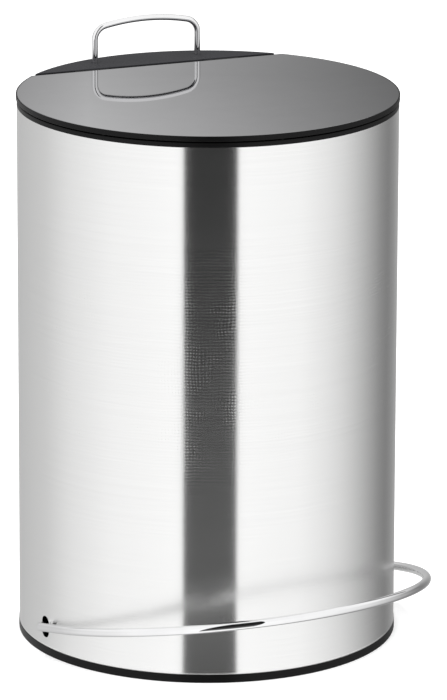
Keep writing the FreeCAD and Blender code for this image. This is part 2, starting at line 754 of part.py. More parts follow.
def make_lid_crank():
    """Steel bracket under the lid with two cheeks for the crank pin."""
    pieces = [crank_foot()]
    for side in (-1, 1):
        x0, x1 = sorted((side * cheek_inner, side * (cheek_inner + cheek_thickness)))
        top = lid_bottom + crank_foot_thickness / 2.0
        outline = [(hinge_y - 17.0, top), (hinge_y - 6.0, top),
                   (crank_pin_y + cheek_radius, crank_pin_z), (crank_pin_y - cheek_radius, crank_pin_z)]
        pieces.append(slab_yz(outline, x0, x1))
        pieces.append(cylinder(cheek_radius, Vector(x0, crank_pin_y, crank_pin_z), X_AXIS, x1 - x0))
    crank = fuse(pieces)
    crank = crank.cut(cylinder(crank_pin_radius, Vector(-20, crank_pin_y, crank_pin_z), X_AXIS, 40))
    for point in crank_screw_points:
        crank = crank.cut(crank_screw(point))
    return crank


def crank_screw(point):
    """Countersunk screw, flush with the crank's foot plate."""
    head = Part.makeCone(screw_radius + 1.2, screw_radius, 1.2, point, Z_AXIS)
    shank = cylinder(screw_radius, point, Z_AXIS, crank_screw_length())
    return fuse([head, shank])


def make_crank_screws():
    """Four countersunk screws that hold the crank to the lid."""
    recess = [cylinder(recess_radius, p, Z_AXIS, 0.9) for p in crank_screw_points]
    return group([crank_screw(p).cut(r) for p, r in zip(crank_screw_points, recess)])


def make_crank_pin():
    """Headed pin through the crank's cheeks and the yoke's slot."""
    half = cheek_inner + cheek_thickness
    pin = cylinder(crank_pin_radius, Vector(-half, crank_pin_y, crank_pin_z), X_AXIS, 2.0 * half)
    heads = [cylinder(crank_pin_radius + 0.8, Vector(x, crank_pin_y, crank_pin_z), X_AXIS, 0.8)
             for x in (-half - 0.8, half)]
    return fuse([pin] + heads)


def bumper_solids():
    """Soft bumpers under the lid that meet the top ring."""
    radius = body_radius - ring_wall / 2.0 - 0.3
    pads = []
    for degrees in (215.0, 270.0, 325.0, 160.0, 20.0):
        centre = polar(radius, degrees)
        pads.append(disc(2.0, ring_top + touch_gap, lid_bottom + 1.2, centre.x, centre.y))
    return pads


# ---------------------------------------------------------------- push rod
def make_push_rod():
    """Straight steel rod from the foot to the yoke."""
    return disc(rod_radius, rod_bottom, rod_top, 0, rod_y)


def make_rod_yoke():
    """Yoke with a cross slot for the crank pin, on a neck that takes the rod."""
    body = obround_yz(yoke_half_length, yoke_half_height, rod_y, crank_pin_z,
                      -yoke_half_thickness, yoke_half_thickness)
    slot_half_height = crank_pin_radius + slot_play
    slot = obround_yz(yoke_slot_half, slot_half_height, rod_y, crank_pin_z,
                      -yoke_half_thickness - 1, yoke_half_thickness + 1)
    neck_bottom = crank_pin_z - yoke_half_height - yoke_neck_length
    neck = disc(yoke_half_thickness, neck_bottom, crank_pin_z - yoke_half_height + 1.0, 0, rod_y)
    yoke = fuse([body, neck]).cut(slot)
    return yoke.cut(disc(rod_radius, neck_bottom - 1, rod_top, 0, rod_y))


def make_rod_foot():
    """Clevis on the rod's lower end, open for the pedal's lever."""
    foot = disc(foot_radius, foot_pin_z - foot_below_pin, foot_top, lever_x, lever_reach)
    half = lever_thickness / 2.0 + 0.5
    foot = foot.cut(block(lever_x - half, lever_x + half, lever_reach - 2 * foot_radius,
                          lever_reach + 2 * foot_radius, 0, foot_pin_z + foot_slot_above_pin))
    foot = foot.cut(disc(rod_radius, rod_bottom, foot_top + 1, lever_x, lever_reach))
    foot = foot.cut(cylinder(foot_pin_radius, Vector(lever_x - 20, lever_reach, foot_pin_z), X_AXIS, 40))
    return turned(foot)


def make_foot_pin():
    """Cross pin through the foot and the lever's slot."""
    half = foot_radius - 0.4
    return turned(cylinder(foot_pin_radius, Vector(lever_x - half, lever_reach, foot_pin_z),
                           X_AXIS, 2.0 * half))


# ---------------------------------------------------------------- pedal
def make_pedal_hoop():
    """One bent wire: a hoop round the front with both ends turned in as the axle."""
    turn = math.radians(pedal_side_turn)
    side_x = pedal_half_width - pedal_side_radius
    end_x = side_x + pedal_side_radius * math.cos(turn)
    end_y = -pedal_side_length - pedal_side_radius * math.sin(turn)
    front_radius = end_x / math.cos(turn)
    front_y = end_y + front_radius * math.sin(turn) - front_radius
    bend_x = pedal_half_width - pedal_bend_radius
    slant = pedal_bend_radius * (1.0 - math.sqrt(0.5))
    right = [
        Vector(lever_x + 0.5, 0, 0),
        Vector(bend_x, 0, 0),
        Vector(pedal_half_width - slant, -slant, 0),
        Vector(pedal_half_width, -pedal_bend_radius, 0),
        Vector(pedal_half_width, -pedal_side_length, 0),
        Vector(side_x + pedal_side_radius * math.cos(turn / 2.0),
               -pedal_side_length - pedal_side_radius * math.sin(turn / 2.0), 0),
        Vector(end_x, end_y, 0),
    ]
    left = [Vector(-p.x, p.y, 0) for p in right]
    left[0] = Vector(lever_x - 0.5, 0, 0)
    front = Vector(0, front_y, 0)
    edges = [
        Part.LineSegment(right[0], right[1]).toShape(),
        Part.Arc(right[1], right[2], right[3]).toShape(),
        Part.LineSegment(right[3], right[4]).toShape(),
        Part.Arc(right[4], right[5], right[6]).toShape(),
        Part.Arc(right[6], front, left[6]).toShape(),
        Part.Arc(left[6], left[5], left[4]).toShape(),
        Part.LineSegment(left[4], left[3]).toShape(),
        Part.Arc(left[3], left[2], left[1]).toShape(),
        Part.LineSegment(left[1], left[0]).toShape(),
    ]
    hoop = swept_wire(edges, pedal_wire_radius, right[0], X_AXIS)
    hoop.rotate(Vector(0, 0, 0), X_AXIS, -pedal_tilt)
    hoop.translate(Vector(0, 0, axle_height))
    return turned(hoop)


def make_axle_sleeve():
    """Sleeve that joins the wire's two ends and carries the lever."""
    start = Vector(lever_x - sleeve_length / 2.0, 0, axle_height)
    sleeve = cylinder(sleeve_radius, start, X_AXIS, sleeve_length)
    sleeve = sleeve.cut(cylinder(pedal_wire_radius, start - X_AXIS, X_AXIS, sleeve_length + 2.0))
    for point in sleeve_screw_points():
        sleeve = sleeve.cut(cylinder(screw_radius, point - Z_AXIS, Z_AXIS, sleeve_wall + 4.0))
    return turned(sleeve)


def sleeve_screw_points():
    """Where the grub screws press on the wire, one on each end."""
    return [Vector(lever_x + side * sleeve_screw_spacing, 0, axle_height + pedal_wire_radius)
            for side in (-1, 1)]


def make_sleeve_screws():
    """Grub screws in the sleeve."""
    screws = []
    for point in sleeve_screw_points():
        grub = cylinder(screw_radius, point, Z_AXIS, sleeve_wall + 0.8)
        recess = cylinder(screw_radius * 0.55, point + Z_AXIS * (sleeve_wall - 0.4), Z_AXIS, 2.0)
        screws.append(turned(grub.cut(recess)))
    return group(screws)


def make_axle_collars():
    """Collars on the axle, inside each bearing."""
    offset = bearing_length / 2.0 + bush_flange + moving_clearance
    collars = []
    for side in (-1, 1):
        near = side * (bearing_x - offset)
        far = side * (bearing_x - offset - collar_length)
        start = Vector(min(near, far), 0, axle_height)
        ring = cylinder(collar_radius, start, X_AXIS, collar_length)
        collars.append(turned(ring.cut(cylinder(pedal_wire_radius, start - X_AXIS, X_AXIS,
                                                collar_length + 2.0))))
    return group(collars)


def make_lift_lever():
    """Flat steel lever from the axle back to the push rod's foot."""
    x0 = lever_x - lever_thickness / 2.0
    x1 = lever_x + lever_thickness / 2.0
    shift = 1.2
    hub = cylinder(lever_hub_radius, Vector(x0, 0, axle_height), X_AXIS, lever_thickness)
    arm = slab_yz([(0, axle_height + lever_hub_radius), (0, axle_height - lever_hub_radius),
                   (lever_reach, foot_pin_z - lever_neck), (lever_reach, foot_pin_z + lever_neck)],
                  x0, x1)
    tip = obround_yz(lever_tip_radius + shift, lever_tip_radius, lever_reach, foot_pin_z, x0, x1)
    lever = fuse([hub, arm, tip])
    lever = lever.cut(cylinder(sleeve_radius, Vector(x0 - 1, 0, axle_height), X_AXIS,
                               lever_thickness + 2.0))
    slot_radius = foot_pin_radius + 0.35
    slot = obround_yz(slot_radius + shift, slot_radius, lever_reach, foot_pin_z, x0 - 1, x1 + 1)
    return turned(lever.cut(slot))


# ---------------------------------------------------------------- bucket
def make_inner_bucket():
    """Lift-out plastic bucket that hangs from its rim."""
    outer = d_taper(bucket_radius, bucket_flat, bucket_corner_radius, bucket_draft,
                    bucket_floor_height, ledge_top)
    corner = bucket_corner_radius - bucket_wall
    inner = d_taper(bucket_radius - bucket_wall, bucket_flat - bucket_wall, corner, bucket_draft,
                    bucket_floor_height + bucket_floor, rim_top)
    rim = d_prism(rim_radius, rim_flat, bucket_corner_radius + rim_width, ledge_top, rim_top)
    bucket = fuse([outer, rim]).cut(inner)
    ears = []
    for side in (-1, 1):
        x0, x1 = sorted((side * ear_inner(), side * (ear_inner() + ear_thickness)))
        ear = block(x0, x1, bail_bend_radius - ear_half_width, bail_bend_radius + ear_half_width,
                    rim_top - 0.5, bail_height + ear_half_width)
        ears.append(ear)
    bucket = fuse([bucket] + ears)
    bore = cylinder(bail_wire_radius + running_clearance,
                    Vector(-2.0 * body_radius, bail_bend_radius, bail_height), X_AXIS, 4.0 * body_radius)
    return bucket.cut(bore)


def ear_inner():
    """Inner face of a bail ear, just inside the bail's bend."""
    return bail_radius - bail_bend_radius - ear_thickness - 0.1


def make_bucket_bail():
    """Wire bail lying round the front of the bucket's rim."""
    z = bail_height
    bend = bail_bend_radius
    slant = bend * (1.0 - math.sqrt(0.5))
    right = [Vector(ear_inner() - 1.0, bend, z), Vector(bail_radius - bend, bend, z),
             Vector(bail_radius - slant, bend - slant, z), Vector(bail_radius, 0, z)]
    left = [Vector(-p.x, p.y, z) for p in right]
    edges = [
        Part.LineSegment(right[0], right[1]).toShape(),
        Part.Arc(right[1], right[2], right[3]).toShape(),
        Part.Arc(right[3], Vector(0, -bail_radius, z), left[3]).toShape(),
        Part.Arc(left[3], left[2], left[1]).toShape(),
        Part.LineSegment(left[1], left[0]).toShape(),
    ]
    return swept_wire(edges, bail_wire_radius, right[0], X_AXIS)


def make_bail_grip():
    """Plastic grip round the middle of the bail."""
    angle = math.radians(grip_half_angle)
    start = Vector(bail_radius * math.sin(angle), -bail_radius * math.cos(angle), bail_height)
    end = Vector(-start.x, start.y, bail_height)
    path = [Part.Arc(start, Vector(0, -bail_radius, bail_height), end).toShape()]
    direction = Vector(-math.cos(angle), -math.sin(angle), 0)
    grip = swept_wire(path, grip_radius, start, direction)
    return grip.cut(swept_wire(path, bail_wire_radius, start, direction))


# ---------------------------------------------------------------- the nodes
def make_base_screws():
    """Screws through the base plate's flange into the ring."""
    return group([screw(p, Z_AXIS * -1.0, plate_top - 0.8) for p in base_screw_points])


def make_bearing_screws():
    """Screws through the bearing caps into the saddles."""
    return group([turned(screw(p, Z_AXIS * -1.0, bearing_screw_length())) for p in bearing_screw_points])


def make_guide_screws():
    """Screws of both rod guides."""
    lower = [screw(p, Z_AXIS * -1.0, lower_screw_length()) for p in lower_guide_points]
    upper = [screw(p, Z_AXIS, guide_plate + ring_band - 1.0) for p in upper_guide_points]
    return group(lower + upper)


def make_cover_screws():
    """Screws up through the bridge into the rear cover."""
    return group([screw(p, Z_AXIS, cover_screw_length()) for p in cover_screw_points])


nodes = {
    "floor_ring": make_floor_ring(),
    "base_plate": make_base_plate(),
    "base_screws": make_base_screws(),
    "anti_slip_pads": group(pad_solids(0.0)),
    "bearing_cap_left": make_bearing_cap(-1),
    "bearing_cap_right": make_bearing_cap(1),
    "bearing_screws": make_bearing_screws(),
    "axle_bush_left": make_axle_bush(-1),
    "axle_bush_right": make_axle_bush(1),
    "rod_guide_lower": make_rod_guide_lower(),
    "rod_buffer": make_rod_buffer(),
    "guide_screws": make_guide_screws(),
    "outer_shell": make_outer_shell(),
    "shell_rivets": make_shell_rivets(),
    "top_ring": make_top_ring(),
    "hinge_pin_left": make_hinge_pin(-1),
    "hinge_pin_right": make_hinge_pin(1),
    "rod_guide_upper": make_rod_guide_upper(),
    "rear_cover": make_rear_cover(),
    "cover_screws": make_cover_screws(),
    "carry_handle": make_carry_handle(),
    "handle_washers": make_handle_washers(),
    "handle_nuts": make_handle_nuts(),
    "inner_bucket": make_inner_bucket(),
    "bucket_bail": make_bucket_bail(),
    "bail_grip": make_bail_grip(),
    "lid_tray": make_lid_tray(),
    "lid_panel": make_lid_panel(),
    "lid_crank": make_lid_crank(),
    "crank_pin": make_crank_pin(),
    "crank_screws": make_crank_screws(),
    "lid_bumpers": group(bumper_solids()),
    "push_rod": make_push_rod(),
    "rod_yoke": make_rod_yoke(),
    "rod_foot": make_rod_foot(),
    "foot_pin": make_foot_pin(),
    "pedal_hoop": make_pedal_hoop(),
    "axle_sleeve": make_axle_sleeve(),
    "sleeve_screws": make_sleeve_screws(),
    "axle_collars": make_axle_collars(),
    "lift_lever": make_lift_lever(),
}

os.makedirs("parts", exist_ok=True)
for name, shape in nodes.items():
    shape.exportStep("parts/" + name + ".step")
    print(name, "solids", len(shape.Solids), "valid", shape.isValid(), "volume", round(shape.Volume, 1))

print("hinge axis y, z:", round(hinge_y, 3), round(hinge_z, 3), "opens", lid_opening)
print("rod lift:", round(rod_lift, 4), "pedal travel:", round(pedal_travel, 4))
print("axle through 0, 0,", axle_height, "heading", pedal_heading)
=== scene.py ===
"""Looks of a round pedal bin: brushed steel body, polished lid, wire handle and hoop pedal.

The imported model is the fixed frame.  Each sub-assembly is a class that holds its sizes in metres,
builds the pieces whose finished shape is made here, and dresses the pieces of the frame.
"""

import logging
import math
from dataclasses import dataclass, field
from enum import Enum
from typing import Callable, Iterable, Sequence

import bmesh
import bpy
from mathutils import Matrix, Vector

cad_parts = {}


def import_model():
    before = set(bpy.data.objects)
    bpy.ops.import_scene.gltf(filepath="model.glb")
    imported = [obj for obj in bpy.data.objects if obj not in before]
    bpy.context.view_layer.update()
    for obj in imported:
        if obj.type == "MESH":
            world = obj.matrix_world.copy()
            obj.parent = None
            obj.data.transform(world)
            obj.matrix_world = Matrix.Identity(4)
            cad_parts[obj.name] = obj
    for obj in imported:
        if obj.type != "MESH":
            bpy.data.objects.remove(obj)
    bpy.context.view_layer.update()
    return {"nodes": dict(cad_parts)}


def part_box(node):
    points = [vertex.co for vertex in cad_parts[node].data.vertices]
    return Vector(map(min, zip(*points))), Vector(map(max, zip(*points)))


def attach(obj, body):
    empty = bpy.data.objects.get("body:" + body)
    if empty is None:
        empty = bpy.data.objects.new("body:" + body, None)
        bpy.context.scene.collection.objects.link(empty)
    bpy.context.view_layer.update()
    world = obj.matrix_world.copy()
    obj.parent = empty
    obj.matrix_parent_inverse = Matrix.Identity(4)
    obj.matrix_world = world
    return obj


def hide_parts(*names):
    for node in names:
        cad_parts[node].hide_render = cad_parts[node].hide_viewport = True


LOG = logging.getLogger("pedal_bin")
MM = 0.001
END_ROUNDING = 0.4 * MM
RIM_SEGMENTS = 5
ROUND_PROFILE = 0.5
UP = Vector((0.0, 0.0, 1.0))


class Grain(Enum):
    """Direction of the fine lines left by brushing or drawing."""

    AROUND = "around the upright axis"
    ALONG_X = "along X"
    UPRIGHT = "upright"


# ---------------------------------------------------------------- node helpers
class NodeSheet:
    """A node tree with short calls for adding and linking nodes."""

    def __init__(self, tree: bpy.types.NodeTree) -> None:
        """Starts on an empty tree.

        Args:
            tree: the node tree to fill.
        """
        self.tree = tree
        tree.nodes.clear()

    def add(self, kind: str, **settings: object) -> bpy.types.Node:
        """Adds a node.

        Args:
            kind: the node's type name.
            settings: attributes of the node.

        Returns:
            The new node.
        """
        node = self.tree.nodes.new(kind)
        for name, value in settings.items():
            setattr(node, name, value)
        return node

    def put(self, value: object, socket: bpy.types.NodeSocket) -> None:
        """Links a socket to another, or sets a plain value on it."""
        if isinstance(value, bpy.types.NodeSocket):
            self.tree.links.new(value, socket)
        else:
            socket.default_value = value

    def math(self, operation: str, *values: object, clamp: bool = False) -> bpy.types.NodeSocket:
        """Adds a Math node.

        Args:
            operation: the node's operation.
            values: sockets or numbers for its inputs.
            clamp: whether the result is kept between 0 and 1.

        Returns:
            The result's socket.
        """
        node = self.add("ShaderNodeMath", operation=operation, use_clamp=clamp)
        for socket, value in zip(node.inputs, values):
            self.put(value, socket)
        return node.outputs[0]

    def spread(self, value: object, low: float, high: float, new_low: float,
               new_high: float) -> bpy.types.NodeSocket:
        """Maps a value from one range to another, clamped at both ends."""
        node = self.add("ShaderNodeMapRange", clamp=True)
        for socket, item in zip(node.inputs, (value, low, high, new_low, new_high)):
            self.put(item, socket)
        return node.outputs[0]

    def blend(self, factor: object, first: object, second: object) -> bpy.types.NodeSocket:
        """Mixes two colours by a factor."""
        node = self.add("ShaderNodeMix", data_type="RGBA")
        self.put(factor, node.inputs[0])
        self.put(first, node.inputs[6])
        self.put(second, node.inputs[7])
        return node.outputs[2]

    def noise(self, vector: object, scale: float, detail: float,
              rough: float = 0.5) -> bpy.types.NodeSocket:
        """Adds a noise texture and gives its value."""
        node = self.add("ShaderNodeTexNoise")
        self.put(vector, node.inputs["Vector"])
        node.inputs["Scale"].default_value = scale
        node.inputs["Detail"].default_value = detail
        node.inputs["Roughness"].default_value = rough
        return node.outputs["Fac"]

    def group(self, tree: bpy.types.NodeTree, **values: object) -> bpy.types.Node:
        """Places a node group.

        Args:
            tree: the group.
            values: values of its inputs, named with underscores for spaces.

        Returns:
            The group's node.
        """
        node = self.add("ShaderNodeGroup", node_tree=tree)
        for name, value in values.items():
            self.put(value, node.inputs[name.replace("_", " ")])
        return node


def new_group(name: str, inputs: Sequence[tuple[str, str, float]],
              outputs: Sequence[tuple[str, str]]) -> tuple[bpy.types.NodeTree, NodeSheet, object, object]:
    """Starts a shader node group.

    Args:
        name: the group's name.
        inputs: name, socket type and default of each input.
        outputs: name and socket type of each output.

    Returns:
        The group, its sheet, the input node and the output node.
    """
    tree = bpy.data.node_groups.new(name, "ShaderNodeTree")
    for label, kind, default in inputs:
        socket = tree.interface.new_socket(label, in_out="INPUT", socket_type=kind)
        if kind == "NodeSocketFloat":
            socket.default_value = default
    for label, kind in outputs:
        tree.interface.new_socket(label, in_out="OUTPUT", socket_type=kind)
    sheet = NodeSheet(tree)
    return tree, sheet, sheet.add("NodeGroupInput"), sheet.add("NodeGroupOutput")


class SharedEffects:
    """Node groups that several finishes use, each built once."""

    ALONG_STRETCH = 6.0
    BROAD_SCALE = 0.17
    FINE_SHARE, BROAD_SHARE = 0.65, 0.35
    ROW_WOBBLE, COLUMN_WOBBLE = 1.8, 1.7
    ROW_SHARE, COLUMN_SHARE, LEAST_SHARE = 0.32, 0.2, 0.14
    BAND_LOW, BAND_HIGH = (0.10, 0.18), (0.31, 0.38)

    def __init__(self) -> None:
        """Builds every group."""
        self.edge_wear = self._edge_wear()
        self.lines = {grain: self._lines(grain) for grain in Grain}
        self.weave = self._weave()
        self.pebble = self._pebble()
        self.handling = self._handling()

    @staticmethod
    def _edge_wear() -> bpy.types.NodeTree:
        """Mask of worn outer edges, broken up by noise."""
        tree, sheet, source, result = new_group(
            "edge_wear", [("Radius", "NodeSocketFloat", 0.0006), ("Amount", "NodeSocketFloat", 0.5)],
            [("Mask", "NodeSocketFloat")])
        bevel = sheet.add("ShaderNodeBevel", samples=4)
        sheet.put(source.outputs["Radius"], bevel.inputs["Radius"])
        geometry = sheet.add("ShaderNodeNewGeometry")
        dot = sheet.add("ShaderNodeVectorMath", operation="DOT_PRODUCT")
        sheet.put(bevel.outputs[0], dot.inputs[0])
        sheet.put(geometry.outputs["Normal"], dot.inputs[1])
        edge = sheet.spread(dot.outputs["Value"], 0.99, 0.8, 0.0, 1.0)
        place = sheet.add("ShaderNodeTexCoord").outputs["Object"]
        breakup = sheet.spread(sheet.noise(place, 90.0, 4.0), 0.42, 0.62, 0.0, 1.0)
        mask = sheet.math("MULTIPLY", edge, breakup)
        sheet.put(sheet.math("MULTIPLY", mask, source.outputs["Amount"], clamp=True), result.inputs["Mask"])
        return tree

    @staticmethod
    def _lines(grain: Grain) -> bpy.types.NodeTree:
        """Long fine lines in one direction, as a height and a tone."""
        tree, sheet, source, result = new_group(
            "lines_" + grain.name.lower(),
            [("Fineness", "NodeSocketFloat", 9000.0), ("Length", "NodeSocketFloat", 8.0)],
            [("Height", "NodeSocketFloat"), ("Tone", "NodeSocketFloat")])
        place = sheet.add("ShaderNodeSeparateXYZ")
        sheet.put(sheet.add("ShaderNodeTexCoord").outputs["Object"], place.inputs[0])
        x, y, z = place.outputs
        fine = source.outputs["Fineness"]
        length = source.outputs["Length"]
        along = sheet.math("MULTIPLY", length, SharedEffects.ALONG_STRETCH)
        vector = sheet.add("ShaderNodeCombineXYZ")
        if grain is Grain.AROUND:
            turn = sheet.math("ARCTAN2", y, x)
            reach = sheet.math("SQRT", sheet.math("ADD", sheet.math("MULTIPLY", x, x),
                                                  sheet.math("MULTIPLY", y, y)))
            parts = (sheet.math("MULTIPLY", turn, length), sheet.math("MULTIPLY", z, fine),
                     sheet.math("MULTIPLY", reach, fine))
        elif grain is Grain.ALONG_X:
            parts = (sheet.math("MULTIPLY", x, along),
                     sheet.math("MULTIPLY", y, fine), sheet.math("MULTIPLY", z, fine))
        else:
            parts = (sheet.math("MULTIPLY", x, fine), sheet.math("MULTIPLY", y, fine),
                     sheet.math("MULTIPLY", z, along))
        for value, socket in zip(parts, vector.inputs):
            sheet.put(value, socket)
        fine_lines = sheet.noise(vector.outputs[0], 1.0, 3.0, 0.6)
        broad = sheet.add("ShaderNodeVectorMath", operation="SCALE")
        sheet.put(vector.outputs[0], broad.inputs[0])
        broad.inputs["Scale"].default_value = SharedEffects.BROAD_SCALE
        broad_lines = sheet.noise(broad.outputs[0], 1.0, 2.0)
        mixed = sheet.math("ADD", sheet.math("MULTIPLY", fine_lines, SharedEffects.FINE_SHARE),
                           sheet.math("MULTIPLY", broad_lines, SharedEffects.BROAD_SHARE))
        sheet.put(mixed, result.inputs["Height"])
        sheet.put(sheet.spread(mixed, 0.35, 0.65, 0.0, 1.0), result.inputs["Tone"])
        return tree

    @staticmethod
    def _weave() -> bpy.types.NodeTree:
        """Faint regular rows and breaks that brushing in passes leaves round the middle of the body."""
        tree, sheet, source, result = new_group(
            "weave", [("Pitch", "NodeSocketFloat", 0.0024), ("Reach", "NodeSocketFloat", 0.145)],
            [("Tone", "NodeSocketFloat")])
        place = sheet.add("ShaderNodeTexCoord").outputs["Object"]
        parts = sheet.add("ShaderNodeSeparateXYZ")
        sheet.put(place, parts.inputs[0])
        x, y, z = parts.outputs
        arc = sheet.math("MULTIPLY", sheet.math("ARCTAN2", y, x), source.outputs["Reach"])
        cycles = sheet.math("DIVIDE", math.tau, source.outputs["Pitch"])
        wobble = sheet.spread(sheet.noise(place, 45.0, 2.0), 0.3, 0.7, -SharedEffects.ROW_WOBBLE,
                              SharedEffects.ROW_WOBBLE)
        rows = sheet.math("SINE", sheet.math("MULTIPLY_ADD", z, cycles, wobble))
        sideways = sheet.math("MULTIPLY", wobble, SharedEffects.COLUMN_WOBBLE)
        columns = sheet.math("SINE", sheet.math("MULTIPLY_ADD", arc, cycles, sideways))
        cloth = sheet.math("MULTIPLY_ADD", rows, SharedEffects.ROW_SHARE,
                           sheet.math("MULTIPLY_ADD", columns, SharedEffects.COLUMN_SHARE,
                                      SharedEffects.LEAST_SHARE))
        middle = sheet.math("MULTIPLY", sheet.spread(z, *SharedEffects.BAND_LOW, 0.0, 1.0),
                            sheet.spread(z, *SharedEffects.BAND_HIGH, 1.0, 0.0))
        patches = sheet.spread(sheet.noise(place, 30.0, 2.0), 0.3, 0.6, 0.35, 1.0)
        tone = sheet.math("MULTIPLY", cloth, sheet.math("MULTIPLY", middle, patches))
        sheet.put(tone, result.inputs["Tone"])
        return tree

    @staticmethod
    def _pebble() -> bpy.types.NodeTree:
        """Fine pebbled texture of a moulded surface."""
        tree, sheet, source, result = new_group(
            "pebble", [("Scale", "NodeSocketFloat", 2500.0)],
            [("Height", "NodeSocketFloat"), ("Tone", "NodeSocketFloat")])
        place = sheet.add("ShaderNodeTexCoord").outputs["Object"]
        cells = sheet.add("ShaderNodeTexVoronoi", feature="SMOOTH_F1")
        sheet.put(place, cells.inputs["Vector"])
        sheet.put(source.outputs["Scale"], cells.inputs["Scale"])
        cloud = sheet.noise(place, 700.0, 3.0)
        height = sheet.math("ADD", cells.outputs["Distance"], sheet.math("MULTIPLY", cloud, 0.6))
        sheet.put(height, result.inputs["Height"])
        sheet.put(sheet.spread(cloud, 0.3, 0.7, 0.0, 1.0), result.inputs["Tone"])
        return tree

    @staticmethod
    def _handling() -> bpy.types.NodeTree:
        """Large soft patches where hands and cloths have passed."""
        tree, sheet, source, result = new_group(
            "handling", [("Scale", "NodeSocketFloat", 14.0)], [("Tone", "NodeSocketFloat")])
        place = sheet.add("ShaderNodeTexCoord").outputs["Object"]
        cloud = sheet.add("ShaderNodeTexNoise")
        sheet.put(place, cloud.inputs["Vector"])
        sheet.put(source.outputs["Scale"], cloud.inputs["Scale"])
        cloud.inputs["Detail"].default_value = 5.0
        cloud.inputs["Distortion"].default_value = 0.4
        sheet.put(sheet.spread(cloud.outputs["Fac"], 0.35, 0.7, 0.0, 1.0), result.inputs["Tone"])
        return tree


# ---------------------------------------------------------------- finishes
@dataclass(frozen=True)
class Finish:
    """A material's name and main values."""

    name: str
    colour: tuple[float, float, float]
    roughness: float

    def build(self, effects: SharedEffects) -> bpy.types.Material:
        """Makes the material.

        Args:
            effects: the shared node groups.

        Returns:
            The finished material.
        """
        material = bpy.data.materials.new(self.name)
        material.use_nodes = True
        sheet = NodeSheet(material.node_tree)
        shader = sheet.add("ShaderNodeBsdfPrincipled")
        output = sheet.add("ShaderNodeOutputMaterial")
        sheet.put(shader.outputs[0], output.inputs["Surface"])
        shader.inputs["Base Color"].default_value = (*self.colour, 1.0)
        shader.inputs["Roughness"].default_value = self.roughness
        self.dress(sheet, shader, effects)
        return material

    def dress(self, sheet: NodeSheet, shader: bpy.types.Node, effects: SharedEffects) -> None:
        """Adds the finish's own nodes to the shader."""

    def tinted(self, factor: float) -> tuple[float, float, float, float]:
        """The colour, lightened or darkened by a factor, with full opacity."""
        return (*(min(1.0, channel * factor) for channel in self.colour), 1.0)

    @staticmethod
    def bump(sheet: NodeSheet, shader: bpy.types.Node, height: object, strength: float,
             distance: float) -> None:
        """Puts a bump on the shader.

        Args:
            sheet: the material's sheet.
            shader: the shader that gets the bump.
            height: socket of the height.
            strength: the bump's strength.
            distance: the bump's depth in metres.
        """
        node = sheet.add("ShaderNodeBump")
        node.inputs["Strength"].default_value = strength
        node.inputs["Distance"].default_value = distance
        sheet.put(height, node.inputs["Height"])
        sheet.put(node.outputs[0], shader.inputs["Normal"])


@dataclass(frozen=True)
class LinedMetal(Finish):
    """Brushed or drawn metal with long fine lines."""

    grain: Grain = Grain.AROUND
    fineness: float = 9000.0
    line_length: float = 8.0
    line_depth: float = 0.000004
    contrast: float = 0.05
    stretch: float = 0.0
    stretch_turn: float = 0.0
    weave: float = 0.0

    def dress(self, sheet: NodeSheet, shader: bpy.types.Node, effects: SharedEffects) -> None:
        """Adds lines, patches of handling and a stretched highlight."""
        shader.inputs["Metallic"].default_value = 1.0
        shader.inputs["Anisotropic"].default_value = self.stretch
        shader.inputs["Anisotropic Rotation"].default_value = self.stretch_turn
        lines = sheet.group(effects.lines[self.grain], Fineness=self.fineness, Length=self.line_length)
        handling = sheet.group(effects.handling, Scale=9.0)
        colour = sheet.blend(lines.outputs["Tone"], self.tinted(1.0 - self.contrast),
                             self.tinted(1.0 + self.contrast))
        sheet.put(colour, shader.inputs["Base Color"])
        rough = sheet.math("ADD", sheet.spread(lines.outputs["Tone"], 0.0, 1.0, self.roughness * 0.93,
                                               self.roughness * 1.07),
                           sheet.spread(handling.outputs["Tone"], 0.0, 1.0, -0.006, 0.008))
        if self.weave:
            weave = sheet.group(effects.weave)
            rough = sheet.math("MULTIPLY_ADD", weave.outputs["Tone"], self.weave, rough)
        sheet.put(rough, shader.inputs["Roughness"])
        self.bump(sheet, shader, lines.outputs["Height"], 0.5, self.line_depth)


@dataclass(frozen=True)
class MirrorMetal(Finish):
    """Chrome plating with faint handling marks."""

    def dress(self, sheet: NodeSheet, shader: bpy.types.Node, effects: SharedEffects) -> None:
        """Adds a soft variation of the polish and slightly dulled edges."""
        shader.inputs["Metallic"].default_value = 1.0
        handling = sheet.group(effects.handling, Scale=40.0)
        wear = sheet.group(effects.edge_wear, Radius=0.0004, Amount=0.6)
        rough = sheet.math("ADD", sheet.spread(handling.outputs["Tone"], 0.0, 1.0, self.roughness * 0.7,
                                               self.roughness * 1.5),
                           sheet.math("MULTIPLY", wear.outputs["Mask"], 0.15))
        sheet.put(rough, shader.inputs["Roughness"])
        colour = sheet.blend(handling.outputs["Tone"], self.tinted(1.0), self.tinted(0.96))
        sheet.put(colour, shader.inputs["Base Color"])


